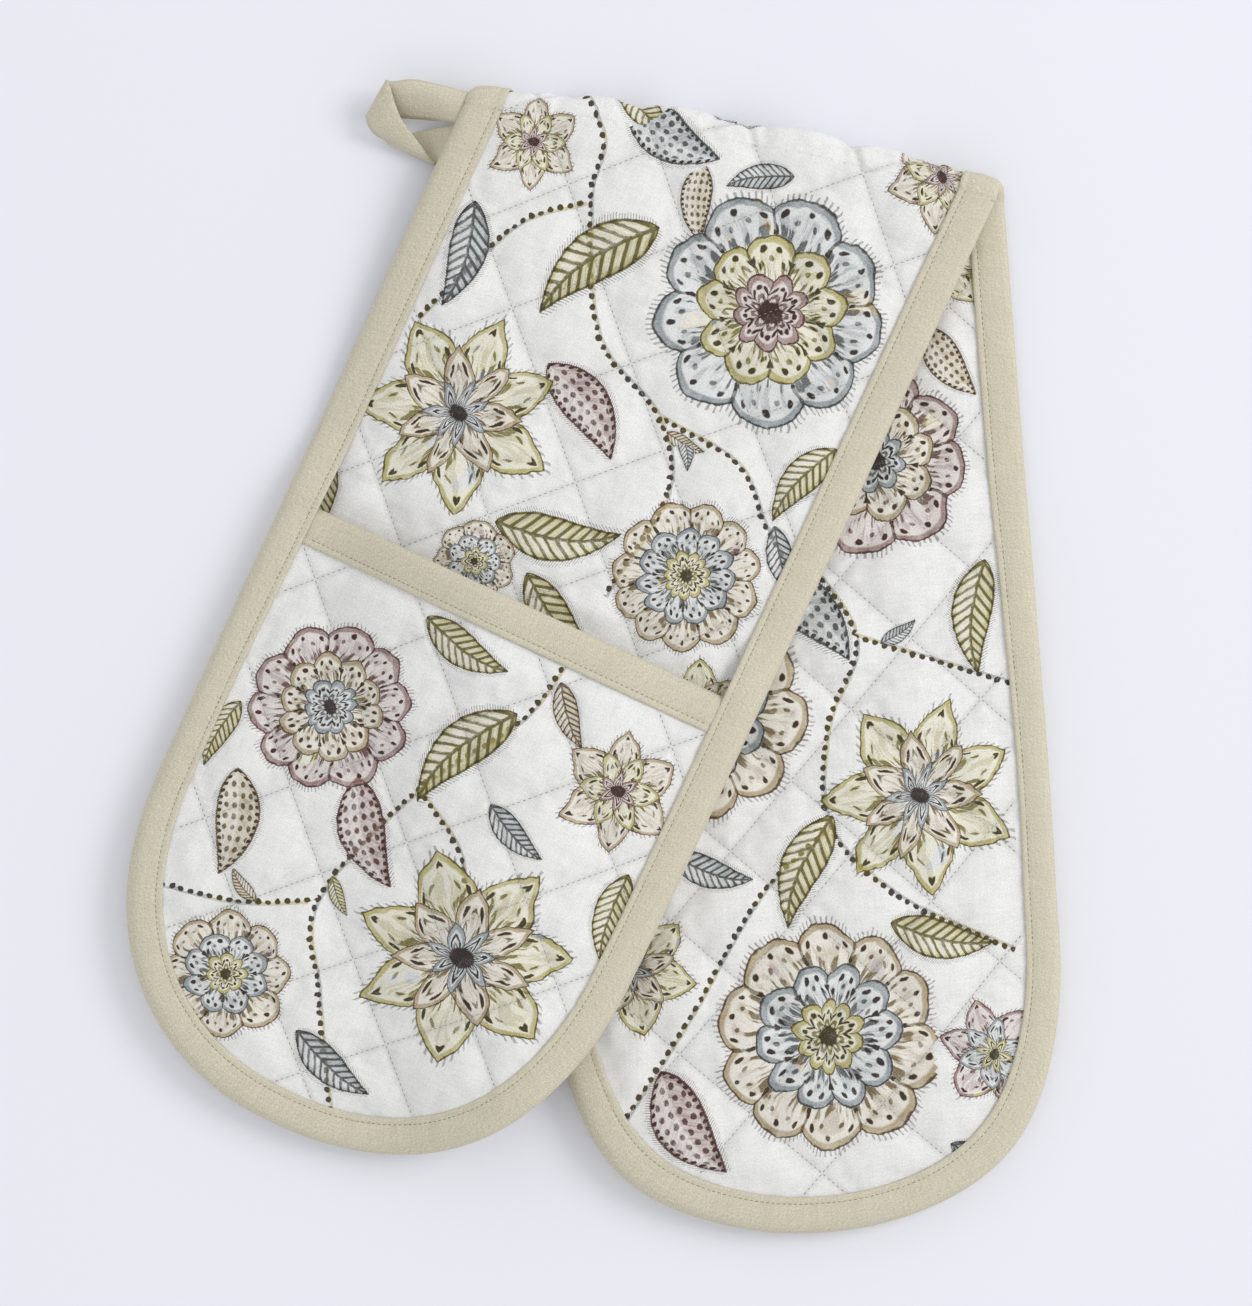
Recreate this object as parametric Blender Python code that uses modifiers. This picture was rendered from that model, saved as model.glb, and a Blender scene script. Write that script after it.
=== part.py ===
# Double oven glove, folded at its middle with one leaf laid askew over the other.
# Metres, +Z up, +Y towards the fold, +X to the right as seen from above.
# Each leaf has its own frame: x runs across it, y runs towards the fold, and s = -y is the
# distance from the middle of the fold.

import math

import bmesh
import bpy
from mathutils import Matrix, Vector

# The strip of quilted cloth that the glove is made of
strip_width = 0.180
leaf_length = 0.380
toe_length = 0.100
toe_power = 2.2
toe_steps = 22

# How it is folded and laid
fold_tilt = math.radians(-10.2)
leaf_skew = math.radians(14.8)
fold_middle_x = 0.0498
fold_middle_y = 0.1796
fold_radius = 0.002
fold_steps = 10

# Layers of the quilted panels
cloth = 0.0006
wadding = 0.0024
clearance = 0.0003
quilt_pitch = 0.032
quilt_puff = 0.0018
panel = 2 * cloth + wadding + 2 * clearance

# Binding tape round the edge and along the pocket mouths
tape = 0.0009
tape_width = 0.014
hem = tape + clearance

# Pockets
mouth_distance = 0.178
back_pocket_room = 0.0064
front_pocket_room = 0.0085
pocket_edge_room = 0.0018
pocket_dome_width = 0.040
pocket_dome_length = 0.100
body_rise_start = 0.115
body_rise_length = 0.048

# How the front leaf drapes over the back leaf and down to the table
drape_lead = 0.022
drape_lead_length = 0.058
drape_clearance = 0.0009
drape_ramp = 0.070
drape_overhang = 0.002

# Hanging loop of tape: how far it reaches from the edge and spreads along it
loop_tape = 0.0012
loop_reach = 0.033
loop_span = 0.0286

# Cutting tools run this far past what they cut
overrun = 0.020


def smooth(x):
    """0 below 0, 1 above 1 and a soft ramp between."""
    x = min(max(x, 0.0), 1.0)
    return x * x * (3 - 2 * x)


binding_inner = strip_width / 2 - tape_width
toe_centre = leaf_length - toe_length
quilt_step = quilt_pitch / 2
fold_outer = fold_radius + panel
axis_height = hem + panel + fold_radius

# Where the fold lies and how the leaves leave it
fold_along = Vector((math.cos(fold_tilt), math.sin(fold_tilt), 0))
fold_down = Vector((math.sin(fold_tilt), -math.cos(fold_tilt), 0))
fold_middle = Vector((fold_middle_x, fold_middle_y, 0))


class Leaf:
    """The frame of one leaf, and the heights of what lies in it."""

    def __init__(self, side):
        self.side = side
        turn = fold_tilt - side * leaf_skew
        self.matrix = Matrix.Translation(fold_middle) @ Matrix.Rotation(turn, 4, "Z")
        self.inverse = self.matrix.inverted()

    def start(self, x, distance):
        """s where the leaf begins, for a point x across it."""
        return (distance - self.side * x * math.sin(leaf_skew)) / math.cos(leaf_skew)


back = Leaf(-1)
front = Leaf(1)


def pocket_room(x, s, middle):
    """Room between body and pocket: most in the middle of the mouth, least along the edge."""
    across = smooth((binding_inner - abs(x)) / pocket_dome_width)
    along = smooth((leaf_length - tape_width - s) / pocket_dome_length)
    return pocket_edge_room + (middle - pocket_edge_room) * across * along


def puff(x, s, start, end):
    """Quilting: full in the middle of a diamond, nothing on its seams, less towards the edges."""
    a = (x + s - mouth_distance) / math.sqrt(2) / quilt_step
    b = (x - s + mouth_distance) / math.sqrt(2) / quilt_step
    if round(a) % 2 == 0 or round(b) % 2 == 0:
        return 0.0
    middle = s if s < toe_centre else toe_centre
    side = (binding_inner + tape_width / 2 - math.hypot(x, s - middle)) / quilt_step
    ends = min((s - start) / quilt_step, (end - s) / quilt_step)
    return quilt_puff * min(max(min(side, ends), 0.0), 1.0)


def in_pocket(s):
    """0 before the mouth of the pocket and 1 in it."""
    return smooth((s - body_rise_start) / body_rise_length)


def back_base(x, s):
    """Underside of the back leaf's body: on the table, then over its pocket."""
    return hem + (panel + pocket_room(x, s, back_pocket_room)) * in_pocket(s)


def back_top_puff(x, s):
    start = back.start(x, fold_outer) + quilt_step
    return puff(x, s, start, leaf_length)


drape_low = hem
drape_fold = axis_height + fold_radius
drape_high = 3 * hem + 2 * panel + back_pocket_room + quilt_puff + drape_clearance


def front_base(x, s):
    """Underside of the front leaf's body: on the back leaf, then down to the table."""
    place = back.inverse @ front.matrix @ Vector((x, -s, 0))
    rise = smooth((-place.y - body_rise_start + drape_lead) / drape_lead_length)
    over = drape_fold + (drape_high - drape_fold) * rise
    off = (-strip_width / 2 - drape_overhang - place.x) / drape_ramp
    return over + (drape_low - over) * smooth(off)


def front_top_puff(x, s):
    start = front.start(x, fold_outer) + quilt_step
    return puff(x, s, start, mouth_distance - quilt_step / 2)


def front_pocket_base(x, s):
    return front_base(x, s) + panel + pocket_room(x, s, front_pocket_room)


def front_pocket_puff(x, s):
    return puff(x, s, mouth_distance + tape_width / 2, leaf_length)


def back_pocket_puff(x, s):
    """The side that lies on the table puffs down no further than the binding does."""
    start = mouth_distance + tape_width + math.sqrt(2) * quilt_step
    return min(puff(x, s, start, leaf_length), hem - clearance)


def flat_outline(inset, start):
    """Outline of a leaf drawn in by inset; start gives s where each side begins."""
    half = strip_width / 2 - inset
    points = [(half, -start(half))]
    for k in range(toe_steps + 1):
        turn = math.pi * (k / toe_steps - 0.5)
        across = -math.copysign(abs(math.sin(turn)) ** (2 / toe_power), turn)
        reach = math.cos(turn) ** (2 / toe_power) if abs(turn) < math.pi / 2 else 0.0
        points.append((half * across, -toe_centre - (toe_length - inset) * reach))
    points.append((-half, -start(-half)))
    return points


def as_mesh(curve_object, collection):
    """The curve object as a closed mesh object, its caps welded."""
    bpy.context.view_layer.update()
    evaluated = curve_object.evaluated_get(bpy.context.evaluated_depsgraph_get())
    mesh = bpy.data.meshes.new_from_object(evaluated)
    name = curve_object.name
    matrix = curve_object.matrix_world.copy()
    bpy.data.objects.remove(curve_object)
    work = bmesh.new()
    work.from_mesh(mesh)
    bmesh.ops.remove_doubles(work, verts=work.verts, dist=clearance / 30)
    bmesh.ops.recalc_face_normals(work, faces=work.faces)
    work.to_mesh(mesh)
    work.free()
    result = bpy.data.objects.new(name, mesh)
    result.name = name
    result.matrix_world = matrix
    collection.objects.link(result)
    return result


def prism(name, points, low, high, matrix, collection):
    """Flat outline made solid between two heights of its own frame."""
    curve = bpy.data.curves.new(name + "_outline", "CURVE")
    curve.dimensions = "2D"
    curve.fill_mode = "BOTH"
    curve.extrude = (high - low) / 2
    spline = curve.splines.new("POLY")
    spline.points.add(len(points) - 1)
    for spot, (x, y) in zip(spline.points, points):
        spot.co = (x, y, 0, 1)
    spline.use_cyclic_u = True
    holder = bpy.data.objects.new(name, curve)
    holder.matrix_world = matrix @ Matrix.Translation((0, 0, (low + high) / 2))
    collection.objects.link(holder)
    return as_mesh(holder, collection)


def slab(name, leaf, low, high, collection):
    """Sheet on the quilting's own grid, filled between two heights."""
    reach = leaf_length / 2 + overrun
    cells = 2 * math.ceil(math.sqrt(2) * reach / quilt_step)
    place = Matrix.Translation((0, -mouth_distance, 0))
    work = bmesh.new()
    bmesh.ops.create_grid(
        work,
        x_segments=cells,
        y_segments=cells,
        size=cells * quilt_step / 2,
        matrix=place @ Matrix.Rotation(math.pi / 4, 4, "Z"),
    )
    far = [v for v in work.verts if abs(v.co.x) > strip_width / 2 + 2 * quilt_step]
    far += [v for v in work.verts if not -leaf_length - overrun * 2 < v.co.y < overrun * 2]
    bmesh.ops.delete(work, geom=list(set(far)), context="VERTS")
    bmesh.ops.triangulate(work, faces=work.faces, quad_method="FIXED")
    raised = bmesh.ops.extrude_face_region(work, geom=work.faces[:])["geom"]
    raised = {v for v in raised if isinstance(v, bmesh.types.BMVert)}
    for v in work.verts:
        height = high if v in raised else low
        v.co.z = height(v.co.x, -v.co.y)
    bmesh.ops.recalc_face_normals(work, faces=work.faces)
    mesh = bpy.data.meshes.new(name)
    work.to_mesh(mesh)
    work.free()
    result = bpy.data.objects.new(name, mesh)
    result.matrix_world = leaf.matrix
    collection.objects.link(result)
    return result


def boolean(piece, other, operation):
    change = piece.modifiers.new(other.name, "BOOLEAN")
    change.operation = operation
    change.solver = "EXACT"
    change.object = other
    return piece


def material(name, colour, roughness):
    found = bpy.data.materials.get(name)
    if found is None:
        found = bpy.data.materials.new(name)
        found.use_nodes = True
        shader = found.node_tree.nodes["Principled BSDF"]
        shader.inputs["Base Color"].default_value = (*colour, 1)
        shader.inputs["Roughness"].default_value = roughness
        shader.inputs["Metallic"].default_value = 0.0
        found.diffuse_color = (*colour, 1)
    return found


def give(piece, finish):
    piece.data.materials.clear()
    piece.data.materials.append(finish)
    return piece


def hang(piece, parent):
    """Parents a piece and leaves it where it is."""
    piece.parent = parent
    piece.matrix_parent_inverse = parent.matrix_world.inverted()


def axis_empty(name, matrix, collection, parent=None):
    empty = bpy.data.objects.new(name, None)
    empty.empty_display_size = tape_width
    collection.objects.link(empty)
    empty.matrix_world = matrix
    bpy.context.view_layer.update()
    if parent is not None:
        hang(empty, parent)
        bpy.context.view_layer.update()
    return empty


def layer(name, leaf, outline, base, steps, finish, parts, parent):
    """One layer of a quilted panel: steps holds its low and high side above the base."""
    low, high = steps
    piece = slab(name, leaf, lambda x, s: base(x, s) + low(x, s),
                 lambda x, s: base(x, s) + high(x, s), parts)
    boolean(piece, outline, "INTERSECT")
    give(piece, finish)
    if parent is not None:
        hang(piece, parent)
    return piece


def quilted(prefix, names, leaf, outline, base, top_puff, under_puff, finishes, parts, parent):
    """The three layers of a quilted panel, from below: cloth, wadding, cloth."""
    lower, upper = cloth + clearance, cloth + clearance + wadding
    steps = [
        (lambda x, s: -under_puff(x, s), lambda x, s: cloth - under_puff(x, s)),
        (lambda x, s: lower - under_puff(x, s), lambda x, s: upper + top_puff(x, s)),
        (lambda x, s: panel - cloth + top_puff(x, s), lambda x, s: panel + top_puff(x, s)),
    ]
    for name, step, finish in zip(names, steps, finishes):
        layer(prefix + name, leaf, outline, base, step, finish, parts, parent)


def no_puff(x, s):
    return 0.0


def edge_binding(name, leaf, low, high, finish, parts, cutters, parent):
    """Tape folded over the edge of a leaf: a channel that is open towards its middle."""
    begin = fold_outer + clearance

    def start(x):
        return leaf.start(x, begin)

    def before(x):
        return leaf.start(x, begin - overrun)

    reach = (-overrun, 4 * overrun)
    whole = prism(name + "_rim", flat_outline(0, start), *reach, leaf.matrix, cutters)
    inner = prism(name + "_field", flat_outline(tape_width, before), *reach,
                  leaf.matrix, cutters)
    edge = prism(name + "_edge", flat_outline(tape, before), *reach, leaf.matrix, cutters)
    core = slab(name + "_core", leaf, lambda x, s: low(x, s) + tape,
                lambda x, s: high(x, s) - tape, cutters)
    boolean(core, edge, "INTERSECT")
    piece = slab(name, leaf, low, high, parts)
    boolean(piece, whole, "INTERSECT")
    boolean(piece, inner, "DIFFERENCE")
    boolean(piece, core, "DIFFERENCE")
    give(piece, finish)
    if parent is not None:
        hang(piece, parent)
    return piece


def mouth_binding(name, leaf, base, top_puff, finish, parts, cutters, parent):
    """Tape folded over the straight mouth of a pocket."""
    side = binding_inner - clearance
    near, far = mouth_distance, mouth_distance + tape_width
    reach = (-overrun, 4 * overrun)
    box = [(-side, -far), (side, -far), (side, -near), (-side, -near)]
    wide = side + overrun
    slot = [(-wide, -far - overrun), (wide, -far - overrun), (wide, -near - tape),
            (-wide, -near - tape)]
    whole = prism(name + "_band", box, *reach, leaf.matrix, cutters)
    inside = prism(name + "_slot", slot, *reach, leaf.matrix, cutters)
    core = slab(name + "_core", leaf, lambda x, s: base(x, s) - clearance,
                lambda x, s: base(x, s) + panel + clearance + top_puff(x, s), cutters)
    boolean(core, inside, "INTERSECT")
    piece = slab(name, leaf, lambda x, s: base(x, s) - hem,
                 lambda x, s: base(x, s) + panel + hem + top_puff(x, s), parts)
    boolean(piece, whole, "INTERSECT")
    boolean(piece, core, "DIFFERENCE")
    give(piece, finish)
    hang(piece, parent)
    return piece


def fold_layer(name, inner, outer, finish, parts, axis_matrix, width):
    """Half a tube round the fold's axis, between two radii."""
    turns = [math.pi * (k / fold_steps - 0.5) for k in range(fold_steps + 1)]
    points = [(outer * math.cos(a), outer * math.sin(a)) for a in turns]
    points += [(inner * math.cos(a), inner * math.sin(a)) for a in reversed(turns)]
    upright = Matrix(((0, 0, 1, 0), (1, 0, 0, 0), (0, 1, 0, 0), (0, 0, 0, 1)))
    piece = prism(name, points, -width / 2, width / 2, axis_matrix @ upright, parts)
    return give(piece, finish)


def fold_binding(name, side, finish, parts, axis_matrix):
    """The edge tape where it goes round the fold: its channel section turned half a turn."""
    end = strip_width / 2 / math.cos(leaf_skew)
    inner, outer = fold_radius - hem, fold_outer + hem
    section = [
        (end, inner), (end - tape_width, inner), (end - tape_width, inner + tape),
        (end - tape, inner + tape), (end - tape, outer - tape),
        (end - tape_width, outer - tape), (end - tape_width, outer), (end, outer),
    ]
    work = bmesh.new()
    corners = [work.verts.new((side * x, 0, -r)) for x, r in section]
    work.faces.new(corners)
    bmesh.ops.spin(work, geom=work.verts[:] + work.edges[:] + work.faces[:], cent=(0, 0, 0),
                   axis=(1, 0, 0), angle=math.pi, steps=fold_steps, use_duplicate=False)
    bmesh.ops.remove_doubles(work, verts=work.verts, dist=clearance / 30)
    bmesh.ops.recalc_face_normals(work, faces=work.faces)
    mesh = bpy.data.meshes.new(name)
    work.to_mesh(mesh)
    work.free()
    piece = bpy.data.objects.new(name, mesh)
    piece.matrix_world = axis_matrix
    parts.objects.link(piece)
    return give(piece, finish)


# Stations of the hanging loop, from its root at the fold round to its lower root. Each share
# is of the reach out from the edge, of the span along the edge and of the height of the root.
loop_low_shares = [(0.00, 0.45, 0.95), (0.35, 0.46, 0.62), (0.70, 0.52, 0.14), (0.86, 0.76, 0.00),
                   (0.80, 0.95, 0.00), (0.55, 1.00, 0.10), (0.25, 1.02, 0.50), (0.00, 1.00, 0.90)]
loop_high_shares = [(0.00, 0.01, 1.00), (0.42, 0.12, 1.15), (0.80, 0.32, 1.20), (0.75, 0.48, 1.15),
                    (0.60, 0.66, 1.10), (0.45, 0.76, 1.05), (0.22, 0.74, 1.00), (0.00, 0.62, 0.98)]


def hanging_loop(finish, parts, parent):
    """Tape looped from the edge of the front leaf, standing askew on its edge."""
    wall = -strip_width / 2 - clearance - loop_tape / 3
    corner = front.start(-strip_width / 2, 0)
    root = drape_fold + panel / 2 - loop_tape / 2

    def spot(shares):
        out, down, up = shares
        return Vector((wall - out * loop_reach, -corner - down * loop_span,
                       loop_tape / 2 + up * root))

    work = bmesh.new()
    low = [work.verts.new(spot(shares)) for shares in loop_low_shares]
    high = [work.verts.new(spot(shares)) for shares in loop_high_shares]
    for k in range(len(low) - 1):
        work.faces.new((low[k], low[k + 1], high[k + 1], high[k]))
    bmesh.ops.recalc_face_normals(work, faces=work.faces)
    mesh = bpy.data.meshes.new("hanging_loop")
    work.to_mesh(mesh)
    work.free()
    piece = bpy.data.objects.new("hanging_loop", mesh)
    piece.matrix_world = front.matrix
    parts.objects.link(piece)
    for face in mesh.polygons:
        face.use_smooth = True
    soft = piece.modifiers.new("softened", "SUBSURF")
    soft.levels = 1
    soft.render_levels = 1
    soft.boundary_smooth = "PRESERVE_CORNERS"
    thick = piece.modifiers.new("tape", "SOLIDIFY")
    thick.thickness = loop_tape
    thick.offset = 0
    give(piece, finish)
    hang(piece, parent)
    return piece


def oven_glove():
    for old in list(bpy.data.objects):
        bpy.data.objects.remove(old)
    parts = bpy.data.collections.new("oven_glove")
    cutters = bpy.data.collections.new("cutters")
    bpy.context.scene.collection.children.link(parts)
    bpy.context.scene.collection.children.link(cutters)

    printed = material("printed_cotton", (0.80, 0.78, 0.74), 0.9)
    lining = material("lining_cotton", (0.82, 0.80, 0.76), 0.9)
    fleece = material("cotton_wadding", (0.88, 0.87, 0.84), 0.95)
    stone = material("stone_binding", (0.62, 0.58, 0.45), 0.85)

    axis_place = fold_middle + fold_down * fold_outer + Vector((0, 0, axis_height))
    fold_matrix = Matrix.Translation(axis_place) @ Matrix.Rotation(fold_tilt, 4, "Z")
    front_axis = axis_empty("front_leaf_axis", fold_matrix, parts)

    # Each pocket opens about its toe. The axis lies on the pocket's outer side there, so that
    # the pocket draws back from the edge binding as its mouth opens.
    toe = leaf_length - tape_width - clearance
    high_side = front_pocket_base(binding_inner, toe_centre)
    front_pocket_axis = axis_empty(
        "front_pocket_axis", front.matrix @ Matrix.Translation((0, -toe, high_side)),
        parts, front_axis)
    back_pocket_axis = axis_empty(
        "back_pocket_axis", back.matrix @ Matrix.Translation((0, -toe, 0)), parts)
    loop_axis = axis_empty(
        "hanging_loop_axis",
        front.matrix @ Matrix.Translation((-strip_width / 2 - clearance, 0,
                                           drape_fold + panel)),
        parts, front_axis)

    tall = (-overrun, 4 * overrun)
    for leaf, name, parent in ((back, "back_leaf", None), (front, "front_leaf", front_axis)):
        def start(x, leaf=leaf):
            return leaf.start(x, fold_outer + clearance)

        def mouth(x):
            return mouth_distance + hem

        outline = prism(name + "_outline", flat_outline(hem, start), *tall,
                        leaf.matrix, cutters)
        is_back = leaf is back
        base = back_base if is_back else front_base
        quilted(name, ("_under_cover", "_wadding", "_top_cover"), leaf, outline, base,
                back_top_puff if is_back else front_top_puff, no_puff,
                (printed, fleece, printed), parts, parent)

        pocket = name.replace("leaf", "pocket")
        pocket_axis = back_pocket_axis if is_back else front_pocket_axis
        pocket_outline = prism(pocket + "_outline",
                               flat_outline(tape_width + clearance, mouth), *tall,
                               leaf.matrix, cutters)
        if is_back:
            quilted(pocket, ("_cover", "_wadding", "_lining"), leaf, pocket_outline,
                    lambda x, s: hem, no_puff, back_pocket_puff, (printed, fleece, lining),
                    parts, pocket_axis)
            mouth_binding(pocket + "_mouth_binding", leaf, lambda x, s: hem, no_puff, stone,
                          parts, cutters, pocket_axis)
        else:
            quilted(pocket, ("_lining", "_wadding", "_cover"), leaf, pocket_outline,
                    front_pocket_base, front_pocket_puff, no_puff, (lining, fleece, printed),
                    parts, pocket_axis)
            mouth_binding(pocket + "_mouth_binding", leaf, front_pocket_base,
                          front_pocket_puff, stone, parts, cutters, pocket_axis)

    edge_binding("back_leaf_binding", back, lambda x, s: 0.0,
                 lambda x, s: back_base(x, s) + panel + hem + back_top_puff(x, s),
                 stone, parts, cutters, None)

    def front_binding_top(x, s):
        pocket = panel + pocket_edge_room
        return (front_base(x, s) + panel + hem + front_top_puff(x, s)
                + pocket * smooth((s - mouth_distance + 2 * tape_width) / (2 * tape_width)))

    edge_binding("front_leaf_binding", front, lambda x, s: front_base(x, s) - hem,
                 front_binding_top, stone, parts, cutters, front_axis)

    width = 2 * (strip_width / 2 / math.cos(leaf_skew) - hem)
    lower = fold_radius + cloth + clearance
    fold_layer("fold_inner_cover", fold_radius, fold_radius + cloth, printed, parts,
               fold_matrix, width)
    fold_layer("fold_wadding", lower, lower + wadding, fleece, parts, fold_matrix, width)
    fold_layer("fold_outer_cover", fold_outer - cloth, fold_outer, printed, parts,
               fold_matrix, width)
    fold_binding("fold_binding_left", -1, stone, parts, fold_matrix)
    fold_binding("fold_binding_right", 1, stone, parts, fold_matrix)

    hanging_loop(stone, parts, loop_axis)

    for cutter in cutters.objects:
        cutter.hide_render = True
        cutter.display_type = "WIRE"
    bpy.context.view_layer.update()


oven_glove()
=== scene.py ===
import math

import bmesh
import bpy
import numpy as np
from mathutils import Matrix, Vector


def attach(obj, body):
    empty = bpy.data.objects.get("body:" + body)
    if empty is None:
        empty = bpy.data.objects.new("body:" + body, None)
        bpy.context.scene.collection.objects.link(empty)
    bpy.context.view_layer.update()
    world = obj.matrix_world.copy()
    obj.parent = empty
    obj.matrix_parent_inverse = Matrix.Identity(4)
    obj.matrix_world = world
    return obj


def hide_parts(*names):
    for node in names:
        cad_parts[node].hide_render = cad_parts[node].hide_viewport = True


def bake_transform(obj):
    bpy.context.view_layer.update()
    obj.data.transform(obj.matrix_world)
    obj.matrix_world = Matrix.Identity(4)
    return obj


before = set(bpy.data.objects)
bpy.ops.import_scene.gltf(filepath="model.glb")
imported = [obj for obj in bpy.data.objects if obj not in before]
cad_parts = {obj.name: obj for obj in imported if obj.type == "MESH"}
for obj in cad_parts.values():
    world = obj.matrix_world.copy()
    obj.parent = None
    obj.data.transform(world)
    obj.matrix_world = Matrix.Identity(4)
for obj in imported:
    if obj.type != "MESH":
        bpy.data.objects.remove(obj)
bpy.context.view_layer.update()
print("frame loaded")

# The glove's own sizes, as the CAD has them, in metres
glove = {
    "width": 0.180, "length": 0.380, "toe": 0.100, "toePower": 2.2,
    "tilt": math.radians(-10.2), "skew": math.radians(14.8), "fold": (0.0498, 0.1796, 0.0),
    "foldRadius": 0.002, "panel": 0.0042, "hem": 0.0012, "tapeWidth": 0.014,
    "mouth": 0.178, "backRoom": 0.0064, "frontRoom": 0.0085, "edgeRoom": 0.0018,
    "domeWidth": 0.040, "domeLength": 0.100, "riseStart": 0.115, "riseLength": 0.048,
    "drapeLead": 0.022, "drapeLeadLength": 0.058, "drapeRamp": 0.070, "drapeOverhang": 0.002,
    "quiltPitch": 0.032, "puff": 0.0018, "clearance": 0.0009,
}
halfWidth, tapeMiddle = glove["width"] / 2, glove["tapeWidth"] / 2
hem, panel, mouth = glove["hem"], glove["panel"], glove["mouth"]
bindingInner = halfWidth - glove["tapeWidth"]
toeCentre = glove["length"] - glove["toe"]
foldOuter = glove["foldRadius"] + panel
axisHeight = hem + panel + glove["foldRadius"]
drapeFold = axisHeight + glove["foldRadius"]
drapeHigh = 3 * hem + 2 * panel + glove["backRoom"] + glove["puff"] + glove["clearance"]
foldMiddle = Vector(glove["fold"])
leafSide = {"back": -1, "front": 1}
leafMatrix = {leaf: Matrix.Translation(foldMiddle)
              @ Matrix.Rotation(glove["tilt"] - side * glove["skew"], 4, "Z")
              for leaf, side in leafSide.items()}


def smooth(x):
    x = np.clip(x, 0.0, 1.0)
    return x * x * (3 - 2 * x)


def startLine(leaf, x, distance):
    # The s where a leaf begins
    return (distance - leafSide[leaf] * x * math.sin(glove["skew"])) / math.cos(glove["skew"])


def pocketRoom(x, s, middle):
    across = smooth((bindingInner - np.abs(x)) / glove["domeWidth"])
    along = smooth((glove["length"] - glove["tapeWidth"] - s) / glove["domeLength"])
    return glove["edgeRoom"] + (middle - glove["edgeRoom"]) * across * along


def inPocket(s):
    return smooth((s - glove["riseStart"]) / glove["riseLength"])


def backBase(x, s):
    return hem + (panel + pocketRoom(x, s, glove["backRoom"])) * inPocket(s)


def frontBase(x, s):
    turn = -2 * glove["skew"]
    placeX = x * math.cos(turn) + s * math.sin(turn)
    placeS = -x * math.sin(turn) + s * math.cos(turn)
    rise = smooth((placeS - glove["riseStart"] + glove["drapeLead"]) / glove["drapeLeadLength"])
    over = drapeFold + (drapeHigh - drapeFold) * rise
    off = (-halfWidth - glove["drapeOverhang"] - placeX) / glove["drapeRamp"]
    return over + (hem - over) * smooth(off)


def frontPocketBase(x, s):
    return frontBase(x, s) + panel + pocketRoom(x, s, glove["frontRoom"])


def outlineAt(share, inset):
    # The x and s of the leaf's outline, share 0 to 1 round the toe, drawn in by inset
    turn = math.pi * (share - 0.5)
    half = halfWidth - inset
    across = -np.sign(turn) * np.abs(np.sin(turn)) ** (2 / glove["toePower"])
    reach = np.clip(np.cos(turn), 0, 1) ** (2 / glove["toePower"])
    return half * across, toeCentre + (glove["toe"] - inset) * reach


def insideBy(x, s, inset):
    # True where a point lies inside the outline drawn in by inset
    half = halfWidth - inset
    intoToe = np.clip((s - toeCentre) / (glove["toe"] - inset), 0, None)
    return (np.abs(x) / half) ** glove["toePower"] + intoToe ** glove["toePower"] < 1


def insetAt(x, s):
    # How far inside the outline a point lies
    power = glove["toePower"]
    down = np.clip(s - toeCentre, 0, None)
    share = ((np.abs(x) / halfWidth) ** power + (down / glove["toe"]) ** power) ** (1 / power)
    reach = np.hypot(x, down) / np.maximum(share, 1e-6)
    return np.where(down > 0, (1 - share) * reach, halfWidth - np.abs(x))


def added(name, data):
    # A new object in the scene
    piece = bpy.data.objects.new(name, data)
    bpy.context.scene.collection.objects.link(piece)
    return piece


view = {"centre": (0.0111, 0.0008), "height": 1.5, "frame": 0.453, "sensor": 24.0,
        "near": 0.01, "far": 20}
camera = bpy.data.cameras.new("photoCamera")
cameraObject = added("photoCamera", camera)
cameraObject.location = (*view["centre"], view["height"])
camera.sensor_width = view["sensor"]
camera.lens = view["sensor"] * view["height"] / view["frame"]
camera.clip_start, camera.clip_end = view["near"], view["far"]
bpy.context.scene.camera = cameraObject

light = {"key": 56.0, "keySize": 2.0, "keyPlace": (3.0, 1.0, 2.6), "world": 0.795}
bpy.context.scene.view_settings.view_transform = "Standard"
lamp = bpy.data.lights.new("window", "AREA")
lamp.shape, lamp.size, lamp.energy = "DISK", light["keySize"], light["key"]
lampObject = added("window", lamp)
lampObject.location = light["keyPlace"]
lampObject.rotation_euler = (-Vector(light["keyPlace"])).to_track_quat("-Z", "Y").to_euler()


def only(thing):
    # Makes one object the active and only selected one
    for other in bpy.context.selected_objects:
        other.select_set(False)
    thing.select_set(True)
    bpy.context.view_layer.objects.active = thing


def turnOutward(piece):
    only(piece)
    bpy.ops.object.mode_set(mode="EDIT")
    bpy.ops.mesh.select_all(action="SELECT")
    bpy.ops.mesh.normals_make_consistent(inside=False)
    bpy.ops.object.mode_set(mode="OBJECT")


def thicken(piece, thickness, offset=-1):
    only(piece)
    wall = piece.modifiers.new("wall", "SOLIDIFY")
    wall.thickness, wall.offset = thickness, offset
    bpy.ops.object.modifier_apply(modifier="wall")


def lengthAlong(*columns):
    # The length of a line at each of its points, from one column for each coordinate
    return np.concatenate([[0], np.cumsum(np.linalg.norm(np.diff(columns, axis=1), axis=0))])


# Quilting: one sheet on the diamonds' own grid, blown up between its stitch lines
quilt = {
    "cells": 16, "rise": 0.0030, "flatTop": 0.8, "beyondFold": 0.050, "fill": 0.5,
    "flatEdge": 0.012, "hemFlat": 0.0133, "hemFade": 0.007, "foldFade": 0.016,
    "pressure": 10.0, "spare": -0.006, "frames": 20, "quality": 5, "mass": 0.15,
    "stretch": 12, "shear": 5, "bending": 4, "usual": 98, "highest": 1.3,
    "quickEdge": 3, "quickTop": 0.6,
}
quiltSpacing = glove["quiltPitch"] / quilt["cells"]
gridReach = math.ceil((halfWidth + mouth + quilt["beyondFold"]) / math.sqrt(2) / quiltSpacing)


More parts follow.
